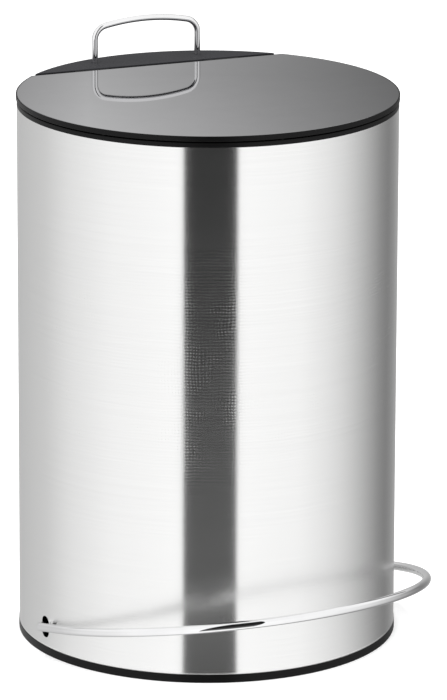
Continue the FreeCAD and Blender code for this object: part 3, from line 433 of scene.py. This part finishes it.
@dataclass(frozen=True)
class MouldedPlastic(Finish):
    """Moulded plastic or rubber with a pebbled skin and lighter edges."""

    pebble_scale: float = 2500.0
    pebble_depth: float = 0.00003
    edge_lift: float = 2.2
    edge_amount: float = 0.5
    specular: float = 0.5

    def dress(self, sheet: NodeSheet, shader: bpy.types.Node, effects: SharedEffects) -> None:
        """Adds the pebbled skin, tone variation and rubbed edges."""
        shader.inputs["Specular IOR Level"].default_value = self.specular
        pebble = sheet.group(effects.pebble, Scale=self.pebble_scale)
        handling = sheet.group(effects.handling, Scale=20.0)
        wear = sheet.group(effects.edge_wear, Radius=0.0005, Amount=self.edge_amount)
        ground = sheet.blend(handling.outputs["Tone"], self.tinted(0.92), self.tinted(1.1))
        colour = sheet.blend(wear.outputs["Mask"], ground, self.tinted(self.edge_lift))
        sheet.put(colour, shader.inputs["Base Color"])
        tone = sheet.math("MULTIPLY", pebble.outputs["Tone"], 0.5)
        mixed = sheet.math("ADD", tone, sheet.math("MULTIPLY", handling.outputs["Tone"], 0.5))
        sheet.put(sheet.spread(mixed, 0.0, 1.0, self.roughness * 0.85, self.roughness * 1.15),
                  shader.inputs["Roughness"])
        self.bump(sheet, shader, pebble.outputs["Height"], 0.35, self.pebble_depth)


FINISHES: dict[str, Finish] = {
    finish.name: finish for finish in (
        LinedMetal("brushed_shell", (0.86, 0.86, 0.855), 0.19, grain=Grain.AROUND, fineness=4200.0,
                   line_length=3.0, line_depth=0.000003, contrast=0.02, stretch=0.95, stretch_turn=0.25,
                   weave=0.13),
        MirrorMetal("chrome_wire", (0.88, 0.88, 0.885), 0.03),
        MirrorMetal("polished_lid", (0.40, 0.40, 0.41), 0.022),
        MouldedPlastic("black_plastic", (0.004, 0.004, 0.0042), 0.34, pebble_depth=0.00001,
                       edge_lift=3.0, specular=0.13),
        MouldedPlastic("matt_cover", (0.021, 0.021, 0.024), 0.6, pebble_depth=0.00003, edge_lift=1.6,
                       specular=0.16),
        MouldedPlastic("bucket_plastic", (0.05, 0.05, 0.055), 0.42, pebble_depth=0.00002, edge_lift=1.5),
        MouldedPlastic("white_nylon", (0.72, 0.71, 0.66), 0.4, pebble_depth=0.00001, edge_lift=1.1),
        MouldedPlastic("rubber", (0.015, 0.015, 0.015), 0.75, pebble_depth=0.00004, edge_lift=1.8,
                       specular=0.35),
        LinedMetal("bare_steel", (0.56, 0.56, 0.55), 0.3, grain=Grain.UPRIGHT, fineness=3000.0,
                   contrast=0.08),
        LinedMetal("turned_steel", (0.58, 0.58, 0.57), 0.26, grain=Grain.ALONG_X, fineness=3000.0,
                   contrast=0.08),
        LinedMetal("zinc_screw", (0.66, 0.67, 0.69), 0.32, grain=Grain.AROUND, fineness=2500.0,
                   contrast=0.1),
    )
}


class Paintbox:
    """Hands out the finished materials by name."""

    def __init__(self) -> None:
        """Builds the shared effects and every finish."""
        effects = SharedEffects()
        self.materials = {name: finish.build(effects) for name, finish in FINISHES.items()}

    def dress(self, piece: bpy.types.Object, finish: str) -> None:
        """Gives a piece one finish all over.

        Args:
            piece: the object to dress.
            finish: the finish's name.
        """
        mesh = piece.data
        if not mesh.materials:
            mesh.materials.append(None)
        for index in range(len(mesh.materials)):
            mesh.materials[index] = self.materials[finish]


# ---------------------------------------------------------------- mesh helpers
def finish_piece(name: str, mesh_in: bmesh.types.BMesh, sharp_degrees: float = 35.0) -> bpy.types.Object:
    """Turns a bmesh into an object at the origin, smooth except at its sharp edges.

    Args:
        name: the piece's name.
        mesh_in: the bmesh, freed here.
        sharp_degrees: edges that turn by more than this stay sharp.

    Returns:
        The new object.
    """
    bmesh.ops.remove_doubles(mesh_in, verts=mesh_in.verts, dist=1e-6)
    bmesh.ops.recalc_face_normals(mesh_in, faces=mesh_in.faces)
    mesh = bpy.data.meshes.new(name)
    mesh_in.to_mesh(mesh)
    mesh_in.free()
    mesh.shade_smooth()
    mesh.set_sharp_from_angle(angle=math.radians(sharp_degrees))
    piece = bpy.data.objects.new(name, mesh)
    bpy.context.scene.collection.objects.link(piece)
    return piece


def spun(points: Sequence[tuple[float, float]], steps: int) -> bmesh.types.BMesh:
    """Spins a closed outline of radius and height round the upright axis.

    Args:
        points: radius and height of each corner.
        steps: number of steps in the full turn.

    Returns:
        The new bmesh.
    """
    work = bmesh.new()
    corners = [work.verts.new((radius, 0.0, height)) for radius, height in points]
    edges = [work.edges.new(pair) for pair in zip(corners, corners[1:] + corners[:1])]
    bmesh.ops.spin(work, geom=corners + edges, cent=(0, 0, 0), axis=UP, dvec=(0, 0, 0),
                   angle=math.tau, steps=steps, use_merge=True, use_normal_flip=False,
                   use_duplicate=False)
    return work


def d_plate(radius: float, flat: float, low: float, high: float, rounding: float,
            steps: int) -> bmesh.types.BMesh:
    """Round plate cut straight at the back, with a rounded upper edge.

    Args:
        radius: the plate's radius.
        flat: Y of its straight edge.
        low: height of its underside.
        high: height of its top.
        rounding: radius of the upper edge.
        steps: sides of the full circle.

    Returns:
        The new bmesh.
    """
    work = bmesh.new()
    bmesh.ops.create_circle(work, cap_ends=True, segments=steps, radius=radius,
                            matrix=Matrix.Translation((0, 0, low)))
    everything = work.verts[:] + work.edges[:] + work.faces[:]
    bmesh.ops.bisect_plane(work, geom=everything, plane_co=(0, flat, 0), plane_no=(0, 1, 0),
                           clear_outer=True)
    grown = bmesh.ops.extrude_face_region(work, geom=work.faces[:])["geom"]
    raised = [item for item in grown if isinstance(item, bmesh.types.BMVert)]
    bmesh.ops.translate(work, verts=raised, vec=(0, 0, high - low))
    rim = [edge for edge in work.edges if all(abs(vert.co.z - high) < 1e-7 for vert in edge.verts)]
    bmesh.ops.bevel(work, geom=rim, offset=rounding, segments=RIM_SEGMENTS, profile=ROUND_PROFILE,
                    affect="EDGES", material=-1)
    ends = [face for face in work.faces if len(face.verts) > 8]
    bmesh.ops.inset_region(work, faces=ends, thickness=0.6 * rounding, use_even_offset=False)
    return work


def arc_points(centre: tuple[float, float], radius: float, start: float, end: float,
               steps: int) -> list[tuple[float, float]]:
    """Points on an arc in an outline.

    Args:
        centre: the arc's centre.
        radius: its radius.
        start: first angle in degrees.
        end: last angle in degrees.
        steps: number of steps.

    Returns:
        The points, both ends included.
    """
    angles = [math.radians(start + (end - start) * i / steps) for i in range(steps + 1)]
    return [(centre[0] + radius * math.cos(a), centre[1] + radius * math.sin(a)) for a in angles]


class BentWire:
    """Round wire built the way it is bent: straight runs and tangent bends."""

    def __init__(self, radius: float, start: Vector, heading: Vector, sides: int = 28) -> None:
        """Starts with an open ring of edges.

        Args:
            radius: the wire's radius.
            start: centre of its first end.
            heading: direction in which it leaves.
            sides: faces round the wire.
        """
        self.work = bmesh.new()
        self.radius = radius
        self.at = start.copy()
        self.heading = heading.normalized()
        turn = UP.rotation_difference(self.heading).to_matrix().to_4x4()
        bmesh.ops.create_circle(self.work, cap_ends=False, segments=sides, radius=radius,
                                matrix=Matrix.Translation(start) @ turn)
        self.first = list(self.work.edges)
        self.last = list(self.work.edges)

    def run(self, length: float, steps: int = 1) -> "BentWire":
        """Adds a straight run.

        Args:
            length: the run's length.
            steps: number of rings that it adds.

        Returns:
            The wire itself.
        """
        for _ in range(steps):
            grown = bmesh.ops.extrude_edge_only(self.work, edges=self.last)["geom"]
            verts = [item for item in grown if isinstance(item, bmesh.types.BMVert)]
            self.last = [item for item in grown if isinstance(item, bmesh.types.BMEdge)]
            bmesh.ops.translate(self.work, verts=verts, vec=self.heading * (length / steps))
        self.at = self.at + self.heading * length
        return self

    def bend(self, radius: float, degrees: float, axis: Vector, steps: int) -> "BentWire":
        """Adds a bend.

        Args:
            radius: radius of the wire's centre line.
            degrees: how far the wire turns, by the right-hand rule about the axis.
            axis: direction square to the bend's plane.
            steps: number of rings that it adds.

        Returns:
            The wire itself.
        """
        inward = axis.cross(self.heading).normalized()
        centre = self.at + inward * radius
        step = math.radians(degrees) / steps
        for _ in range(steps):
            grown = bmesh.ops.extrude_edge_only(self.work, edges=self.last)["geom"]
            verts = [item for item in grown if isinstance(item, bmesh.types.BMVert)]
            self.last = [item for item in grown if isinstance(item, bmesh.types.BMEdge)]
            bmesh.ops.rotate(self.work, verts=verts, cent=centre, matrix=Matrix.Rotation(step, 3, axis))
        turn = Matrix.Rotation(math.radians(degrees), 3, axis)
        self.at = centre + turn @ (self.at - centre)
        self.heading = turn @ self.heading
        return self

    def cut_off(self) -> bmesh.types.BMesh:
        """Closes both ends with rounded caps.

        Returns:
            The finished bmesh.
        """
        rims = [edge for edge in self.first + self.last if edge.is_valid]
        bmesh.ops.holes_fill(self.work, edges=rims, sides=0)
        bmesh.ops.bevel(self.work, geom=rims, offset=END_ROUNDING, segments=3, profile=ROUND_PROFILE,
                        affect="EDGES", material=-1)
        return self.work


# ---------------------------------------------------------------- sub-assemblies
@dataclass
class SubAssembly:
    """What every sub-assembly has: its paint and the body that it rides on."""

    paint: Paintbox
    nodes: dict[str, bpy.types.Object]
    body: str = "body"

    def carry_over(self, finishes: dict[str, Iterable[str]]) -> None:
        """Dresses pieces of the frame that keep their shape.

        Args:
            finishes: names of the nodes for each finish.
        """
        for finish, names in finishes.items():
            for name in names:
                self.paint.dress(self.nodes[name], finish)
                LOG.info("%s keeps its shape, finish %s", name, finish)

    def place(self, piece: bpy.types.Object, finish: str, slot: str, *replaced: str) -> None:
        """Dresses a new piece and lets it ride in place of the nodes it stands for.

        Args:
            piece: the new piece.
            finish: its finish.
            slot: not used.
            replaced: nodes that it stands for.
        """
        self.paint.dress(piece, finish)
        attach(piece, self.body)
        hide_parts(*replaced)
        LOG.info("%s stands for %s, %d faces", piece.name, ", ".join(replaced), len(piece.data.polygons))


@dataclass
class Base(SubAssembly):
    """Floor ring, base plate, bearings, lower guide and screws."""

    def build(self) -> None:
        """Dresses the pieces of the base."""
        self.carry_over({
            "black_plastic": ("floor_ring", "base_plate", "bearing_cap_left", "bearing_cap_right",
                              "rod_guide_lower"),
            "rubber": ("anti_slip_pads", "rod_buffer"),
            "white_nylon": ("axle_bush_left", "axle_bush_right"),
            "zinc_screw": ("base_screws", "bearing_screws", "guide_screws"),
        })


@dataclass
class Shell(SubAssembly):
    """Brushed steel cylinder with a rolled lower bead and two pedal slots."""

    wall: float = 0.8 * MM
    ring_top: float = 6.5 * MM
    bead_radius: float = 0.6 * MM
    bead_gap: float = 0.05 * MM
    bead_sink: float = 0.35
    edge_radius: float = 0.3 * MM
    rows: int = 12
    first_row: float = 1.2 * MM
    last_row: float = 1.0 * MM
    sharp_degrees: float = 40.0
    slot_width: float = 10.0 * MM
    slot_height: float = 17.0 * MM
    slot_middle: float = 21.8 * MM
    heading: float = math.radians(9.5)
    steps: int = 360

    def build(self) -> None:
        """Builds the shell and dresses its rivets."""
        low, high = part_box("outer_shell")
        radius = high.x
        inner = radius - self.wall
        bead_middle = self.ring_top + self.bead_radius + self.bead_gap
        bead = arc_points((radius - self.bead_radius * self.bead_sink, bead_middle), self.bead_radius,
                          -60.0, 60.0, 8)
        top = arc_points((radius - self.edge_radius, high.z - self.edge_radius), self.edge_radius,
                         0.0, 90.0, 4)
        start = bead_middle + self.first_row
        end = high.z - self.last_row
        rows = [(radius, start + (end - start) * i / self.rows) for i in range(self.rows + 1)]
        outline = [(inner, high.z), (inner, low.z), (radius, low.z)] + bead + rows + top
        work = spun(outline, self.steps)
        piece = finish_piece("steel_shell", work, self.sharp_degrees)
        self._cut_slots(piece, radius)
        self.place(piece, "brushed_shell", "brushed_shell", "outer_shell")
        self.carry_over({"bare_steel": ("shell_rivets",)})

    def _cut_slots(self, piece: bpy.types.Object, radius: float) -> None:
        """Cuts both pedal slots out of the shell.

        Args:
            piece: the shell.
            radius: its outside radius.
        """
        work = bmesh.new()
        half = self.slot_width / 2.0
        reach = self.slot_height / 2.0 - half
        outline = arc_points((0.0, reach), half, 0.0, 180.0, 16)
        outline += arc_points((0.0, -reach), half, 180.0, 360.0, 16)
        corners = [work.verts.new((-1.2 * radius, y, self.slot_middle + z)) for y, z in outline]
        face = work.faces.new(corners)
        grown = bmesh.ops.extrude_face_region(work, geom=[face])["geom"]
        moved = [item for item in grown if isinstance(item, bmesh.types.BMVert)]
        bmesh.ops.translate(work, verts=moved, vec=(2.4 * radius, 0, 0))
        bmesh.ops.rotate(work, verts=work.verts, cent=(0, 0, 0),
                         matrix=Matrix.Rotation(self.heading, 3, "Z"))
        cutter = finish_piece("slot_cutter", work)
        modifier = piece.modifiers.new("slots", "BOOLEAN")
        modifier.operation = "DIFFERENCE"
        modifier.solver = "EXACT"
        modifier.object = cutter
        bake_modifiers(piece)
        piece.data.set_sharp_from_angle(angle=math.radians(self.sharp_degrees))
        bpy.data.objects.remove(cutter)


def bake_modifiers(piece: bpy.types.Object) -> None:
    """Applies a piece's modifiers to its mesh."""
    graph = bpy.context.evaluated_depsgraph_get()
    mesh = bpy.data.meshes.new_from_object(piece.evaluated_get(graph))
    piece.modifiers.clear()
    old = piece.data
    piece.data = mesh
    bpy.data.meshes.remove(old)


@dataclass
class TopAssembly(SubAssembly):
    """Top ring, rear cover, hinge pins and upper guide."""

    def build(self) -> None:
        """Dresses the pieces round the shell's mouth."""
        self.carry_over({
            "black_plastic": ("top_ring", "rod_guide_upper"),
            "matt_cover": ("rear_cover",),
            "turned_steel": ("hinge_pin_left", "hinge_pin_right"),
            "zinc_screw": ("cover_screws", "handle_washers", "handle_nuts"),
        })


@dataclass
class CarryHandle(SubAssembly):
    """Bent chrome wire handle behind the lid."""

    wire_radius: float = 2.4 * MM
    half_span: float = 42.8 * MM
    crown_radius: float = 165.0 * MM
    corner_radius: float = 11.0 * MM
    sides: int = 32
    leg_steps: int = 6
    corner_steps: int = 24
    crown_steps: int = 40

    def build(self) -> None:
        """Bends the wire from one foot to the other."""
        low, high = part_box("carry_handle")
        y = (low.y + high.y) / 2.0
        crown_z = high.z - self.wire_radius - self.crown_radius
        corner_x = self.half_span - self.corner_radius
        rise = math.sqrt((self.crown_radius - self.corner_radius) ** 2 - corner_x ** 2)
        lean = math.degrees(math.atan2(corner_x, rise))
        leg = crown_z + rise - low.z
        wire = BentWire(self.wire_radius, Vector((-self.half_span, y, low.z)), UP, self.sides)
        axis = Vector((0.0, 1.0, 0.0))
        wire.run(leg, self.leg_steps).bend(self.corner_radius, 90.0 - lean, axis, self.corner_steps)
        wire.bend(self.crown_radius, 2.0 * lean, axis, self.crown_steps)
        wire.bend(self.corner_radius, 90.0 - lean, axis, self.corner_steps).run(leg, self.leg_steps)
        piece = finish_piece("handle_wire", wire.cut_off())
        self.place(piece, "chrome_wire", "chrome_wire", "carry_handle")


@dataclass
class Bucket(SubAssembly):
    """Lift-out bucket with its bail."""

    def build(self) -> None:
        """Dresses the bucket, the bail and the grip."""
        self.carry_over({
            "bucket_plastic": ("inner_bucket",),
            "turned_steel": ("bucket_bail",),
            "matt_cover": ("bail_grip",),
        })


@dataclass
class Lid(SubAssembly):
    """Polished lid sheet with its tray, crank and bumpers."""

    body: str = "lid"
    rounding: float = 0.5 * MM
    steps: int = 360
    sharp_degrees: float = 60.0

    def build(self) -> None:
        """Builds the polished sheet and dresses the lid's other pieces."""
        low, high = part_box("lid_panel")
        work = d_plate(-low.y, high.y, low.z, high.z, self.rounding, self.steps)
        piece = finish_piece("lid_sheet", work, self.sharp_degrees)
        self.place(piece, "polished_lid", "polished_lid", "lid_panel")
        self.carry_over({
            "black_plastic": ("lid_tray",),
            "bare_steel": ("lid_crank",),
            "turned_steel": ("crank_pin",),
            "zinc_screw": ("crank_screws",),
            "rubber": ("lid_bumpers",),
        })


@dataclass
class LiftRod(SubAssembly):
    """Push rod with its yoke and foot."""

    body: str = "lift_rod"

    def build(self) -> None:
        """Dresses the rod's pieces."""
        self.carry_over({
            "bare_steel": ("push_rod",),
            "white_nylon": ("rod_yoke", "rod_foot"),
            "turned_steel": ("foot_pin",),
        })


@dataclass
class Pedal(SubAssembly):
    """Chrome hoop pedal, bent from one wire, with its lever."""

    body: str = "pedal"
    wire_radius: float = 3.3 * MM
    half_width: float = 152.5 * MM
    corner_radius: float = 7.0 * MM
    side_length: float = 31.0 * MM
    side_radius: float = 164.0 * MM
    side_turn: float = 30.0
    tilt: float = math.radians(11.5)
    heading: float = math.radians(9.5)
    axle_height: float = 23.3 * MM
    end_gap: float = 0.5 * MM
    sides: int = 36
    axle_steps: int = 12
    corner_steps: int = 20
    run_steps: int = 3
    side_steps: int = 40
    front_steps: int = 160

    def build(self) -> None:
        """Bends the hoop and dresses the pieces on its axle."""
        turn = math.radians(self.side_turn)
        front_radius = (self.half_width - self.side_radius) / math.cos(turn) + self.side_radius
        wire = BentWire(self.wire_radius, Vector(), Vector((1.0, 0.0, 0.0)), self.sides)
        axis = Vector((0.0, 0.0, -1.0))
        reach = self.half_width - self.corner_radius
        side = self.side_length - self.corner_radius
        wire.run(reach, self.axle_steps).bend(self.corner_radius, 90.0, axis, self.corner_steps)
        wire.run(side, self.run_steps).bend(self.side_radius, self.side_turn, axis, self.side_steps)
        wire.bend(front_radius, 2.0 * (90.0 - self.side_turn), axis, self.front_steps)
        wire.bend(self.side_radius, self.side_turn, axis, self.side_steps).run(side, self.run_steps)
        wire.bend(self.corner_radius, 90.0, axis, self.corner_steps)
        wire.run(reach - self.end_gap, self.axle_steps)
        work = wire.cut_off()
        place = (Matrix.Rotation(self.heading, 4, "Z") @ Matrix.Translation((0, 0, self.axle_height))
                 @ Matrix.Rotation(-self.tilt, 4, "X"))
        bmesh.ops.transform(work, matrix=place, verts=work.verts)
        piece = finish_piece("hoop_wire", work)
        self.place(piece, "chrome_wire", "chrome_wire", "pedal_hoop")
        self.carry_over({
            "turned_steel": ("axle_sleeve", "axle_collars"),
            "bare_steel": ("lift_lever",),
            "zinc_screw": ("sleeve_screws",),
        })


# ---------------------------------------------------------------- studio
@dataclass
class Studio:
    """Pale floor, white surroundings, dark flag, lid card, soft light and camera."""

    camera_place: Vector = field(default_factory=lambda: Vector((-1.6258, -3.9328, 1.4048)))
    camera_aim: Vector = field(default_factory=lambda: Vector((0.01245, -0.00234, 0.2192)))
    camera_roll: float = math.radians(0.2)
    lens: float = 296.2
    surround: tuple[tuple[float, float], ...] = (
        (-180.0, 0.46), (-155.0, 0.49), (-116.0, 0.60), (-92.0, 0.77), (-60.0, 0.92), (-20.0, 1.0),
        (20.0, 1.0), (58.0, 0.94), (76.0, 0.82), (90.0, 0.70), (102.0, 0.56), (113.0, 0.43),
        (128.0, 0.27), (140.0, 0.20), (152.0, 0.26), (166.0, 0.36), (180.0, 0.46))
    above: float = 0.94
    above_fade: tuple[float, ...] = (0.2, 0.6, 0.0, 1.0)
    surround_strength: float = 1.12
    floor_size: float = 30.0
    floor_shade: float = 0.93
    floor_glow: float = 0.22
    flag_distance: float = 1.0
    flag_left: float = -0.235
    flag_right: float = 0.3
    flag_low: float = -0.7
    flag_high: float = 2.2
    flag_fade: tuple[float, ...] = (-0.3, 0.1, 0.13, 0.018)
    card_distance: float = 0.62
    card_half: float = 0.8
    card_low: float = 0.47
    card_high: float = 0.95
    card_across: tuple[float, ...] = (-0.105, 0.165, 0.75, 0.27)
    card_corner: tuple[float, ...] = (-0.17, -0.105, 0.2, 0.0)
    card_rise: tuple[float, ...] = (0.55, 0.605, 0.9, 1.1)
    light_place: tuple[float, ...] = (-0.4, -0.4, 3.2)
    light_size: float = 3.0
    light_power: float = 60.0

    def view_azimuth(self) -> float:
        """Direction from the bin to the camera, as an angle from +X."""
        return math.atan2(self.camera_place.y, self.camera_place.x)

    def from_camera(self, right: float, away: float, height: float) -> Vector:
        """A point given by its distances to the right, away from the camera, and up."""
        turn = self.view_azimuth() + math.pi / 2.0
        return Vector((right * math.cos(turn) - away * math.sin(turn),
                       right * math.sin(turn) + away * math.cos(turn), height))

    def build(self) -> None:
        """Sets up everything that isn't part of the bin."""
        self._camera()
        self._world()
        self._floor()
        self._flag()
        self._lid_card()
        self._light()
        bpy.context.scene.view_settings.view_transform = "Standard"

    def _camera(self) -> None:
        """Places the camera."""
        data = bpy.data.cameras.new("camera")
        data.lens = self.lens
        data.sensor_fit = "AUTO"
        data.sensor_width = 36.0
        camera = bpy.data.objects.new("camera", data)
        bpy.context.scene.collection.objects.link(camera)
        look = (self.camera_aim - self.camera_place).to_track_quat("-Z", "Y").to_matrix().to_4x4()
        roll = Matrix.Rotation(self.camera_roll, 4, "Z")
        camera.matrix_world = Matrix.Translation(self.camera_place) @ look @ roll
        bpy.context.scene.camera = camera

    def _world(self) -> None:
        """Soft surroundings: bright at the camera's sides, greyer behind the bin."""
        world = bpy.data.worlds.new("surroundings")
        world.use_nodes = True
        bpy.context.scene.world = world
        sheet = NodeSheet(world.node_tree)
        rotate = sheet.add("ShaderNodeVectorRotate", rotation_type="Z_AXIS")
        sheet.put(sheet.add("ShaderNodeTexCoord").outputs["Generated"], rotate.inputs["Vector"])
        rotate.inputs["Angle"].default_value = -(self.view_azimuth() + math.pi / 2.0)
        parts = sheet.add("ShaderNodeSeparateXYZ")
        sheet.put(rotate.outputs[0], parts.inputs[0])
        turn = sheet.math("ARCTAN2", parts.outputs[0], sheet.math("MULTIPLY", parts.outputs[1], -1.0))
        share = sheet.math("ADD", sheet.math("DIVIDE", turn, math.tau), 0.5)
        ramp = sheet.add("ShaderNodeValToRGB")
        sheet.put(share, ramp.inputs[0])
        stops = ramp.color_ramp.elements
        while len(stops) > 1:
            stops.remove(stops[0])
        for index, (degrees, level) in enumerate(self.surround):
            place = (degrees + 180.0) / 360.0
            stop = stops[0] if index == 0 else stops.new(place)
            stop.position = place
            stop.color = (level, level, level, 1.0)
        rise = sheet.spread(parts.outputs[2], *self.above_fade)
        overhead = (self.above, self.above, self.above, 1.0)
        around = sheet.add("ShaderNodeBackground")
        sheet.put(sheet.blend(rise, ramp.outputs[0], overhead), around.inputs["Color"])
        around.inputs["Strength"].default_value = self.surround_strength
        seen = sheet.add("ShaderNodeBackground")
        seen.inputs["Color"].default_value = (1.0, 1.0, 1.0, 1.0)
        mix = sheet.add("ShaderNodeMixShader")
        sheet.put(sheet.add("ShaderNodeLightPath").outputs["Is Camera Ray"], mix.inputs[0])
        sheet.put(around.outputs[0], mix.inputs[1])
        sheet.put(seen.outputs[0], mix.inputs[2])
        output = sheet.add("ShaderNodeOutputWorld")
        sheet.put(mix.outputs[0], output.inputs["Surface"])

    def _upright(self, left: float, right: float, away: float, low: float, high: float) -> list[Vector]:
        """Corners of an upright rectangle square to the camera's line of sight."""
        return [self.from_camera(left, away, low), self.from_camera(right, away, low),
                self.from_camera(right, away, high), self.from_camera(left, away, high)]

    def _panel(self, name: str, corners: Sequence[Vector]) -> bpy.types.Object:
        """Flat four-cornered panel.

        Args:
            name: the panel's name.
            corners: its corners in order.

        Returns:
            The panel.
        """
        work = bmesh.new()
        work.faces.new([work.verts.new(corner) for corner in corners])
        mesh = bpy.data.meshes.new(name)
        work.to_mesh(mesh)
        work.free()
        panel = bpy.data.objects.new(name, mesh)
        bpy.context.scene.collection.objects.link(panel)
        return panel

    def _glow(self, panel: bpy.types.Object, paint: Callable[[NodeSheet], object]) -> None:
        """Makes a panel glow, seen in reflections only.

        Args:
            panel: the panel.
            paint: gives the socket of the glow's strength.
        """
        material = bpy.data.materials.new(panel.name)
        material.use_nodes = True
        sheet = NodeSheet(material.node_tree)
        glow = sheet.add("ShaderNodeEmission")
        sheet.put(paint(sheet), glow.inputs["Strength"])
        output = sheet.add("ShaderNodeOutputMaterial")
        sheet.put(glow.outputs[0], output.inputs["Surface"])
        panel.data.materials.append(material)
        panel.visible_camera = False
        panel.visible_diffuse = False
        panel.visible_shadow = False

    def _floor(self) -> None:
        """White floor."""
        half = self.floor_size / 2.0
        panel = self._panel("floor", [Vector((-half, -half, 0)), Vector((half, -half, 0)),
                                      Vector((half, half, 0)), Vector((-half, half, 0))])
        material = bpy.data.materials.new("floor")
        material.use_nodes = True
        shader = material.node_tree.nodes["Principled BSDF"]
        shader.inputs["Base Color"].default_value = (*[self.floor_shade] * 3, 1.0)
        shader.inputs["Roughness"].default_value = 0.9
        shader.inputs["Specular IOR Level"].default_value = 0.0
        shader.inputs["Emission Color"].default_value = (1.0, 1.0, 1.0, 1.0)
        shader.inputs["Emission Strength"].default_value = self.floor_glow
        panel.data.materials.append(material)
        panel.visible_glossy = False

    def _flag(self) -> None:
        """Dark flag round the camera's line of sight."""
        near = -self.flag_distance
        panel = self._panel("dark_flag", self._upright(self.flag_left, self.flag_right, near, self.flag_low,
                                                       self.flag_high))

        def paint(sheet: NodeSheet) -> object:
            """Darker towards the top."""
            parts = sheet.add("ShaderNodeSeparateXYZ")
            sheet.put(sheet.add("ShaderNodeTexCoord").outputs["Object"], parts.inputs[0])
            return sheet.spread(parts.outputs[2], *self.flag_fade)

        self._glow(panel, paint)

    def _lid_card(self) -> None:
        """Bright card behind the bin that the lid mirrors."""
        panel = self._panel("lid_card", self._upright(-self.card_half, self.card_half,
                                                      self.card_distance, self.card_low, self.card_high))
        across = self.from_camera(1.0, 0.0, 0.0)

        def paint(sheet: NodeSheet) -> object:
            """Brighter on the left and towards the top."""
            place = sheet.add("ShaderNodeTexCoord").outputs["Object"]
            dot = sheet.add("ShaderNodeVectorMath", operation="DOT_PRODUCT")
            sheet.put(place, dot.inputs[0])
            dot.inputs[1].default_value = across
            middle = sheet.spread(dot.outputs["Value"], *self.card_across)
            corner = sheet.spread(dot.outputs["Value"], *self.card_corner)
            parts = sheet.add("ShaderNodeSeparateXYZ")
            sheet.put(place, parts.inputs[0])
            rise = sheet.spread(parts.outputs[2], *self.card_rise)
            return sheet.math("MULTIPLY", sheet.math("SUBTRACT", middle, corner), rise)

        self._glow(panel, paint)

    def _light(self) -> None:
        """Large soft light overhead for the floor and the matt surfaces."""
        data = bpy.data.lights.new("overhead", "AREA")
        data.shape = "DISK"
        data.size = self.light_size
        data.energy = self.light_power
        light = bpy.data.objects.new("overhead", data)
        light.location = self.from_camera(*self.light_place)
        light.visible_glossy = False
        bpy.context.scene.collection.objects.link(light)


def main() -> None:
    """Loads the frame, builds every sub-assembly and the studio."""
    logging.basicConfig(level=logging.INFO, format="%(message)s")
    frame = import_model()
    paint = Paintbox()
    for kind in (Base, Shell, TopAssembly, CarryHandle, Bucket, Lid, LiftRod, Pedal):
        kind(paint, frame["nodes"]).build()
    Studio().build()


if __name__ == "__main__":
    main()
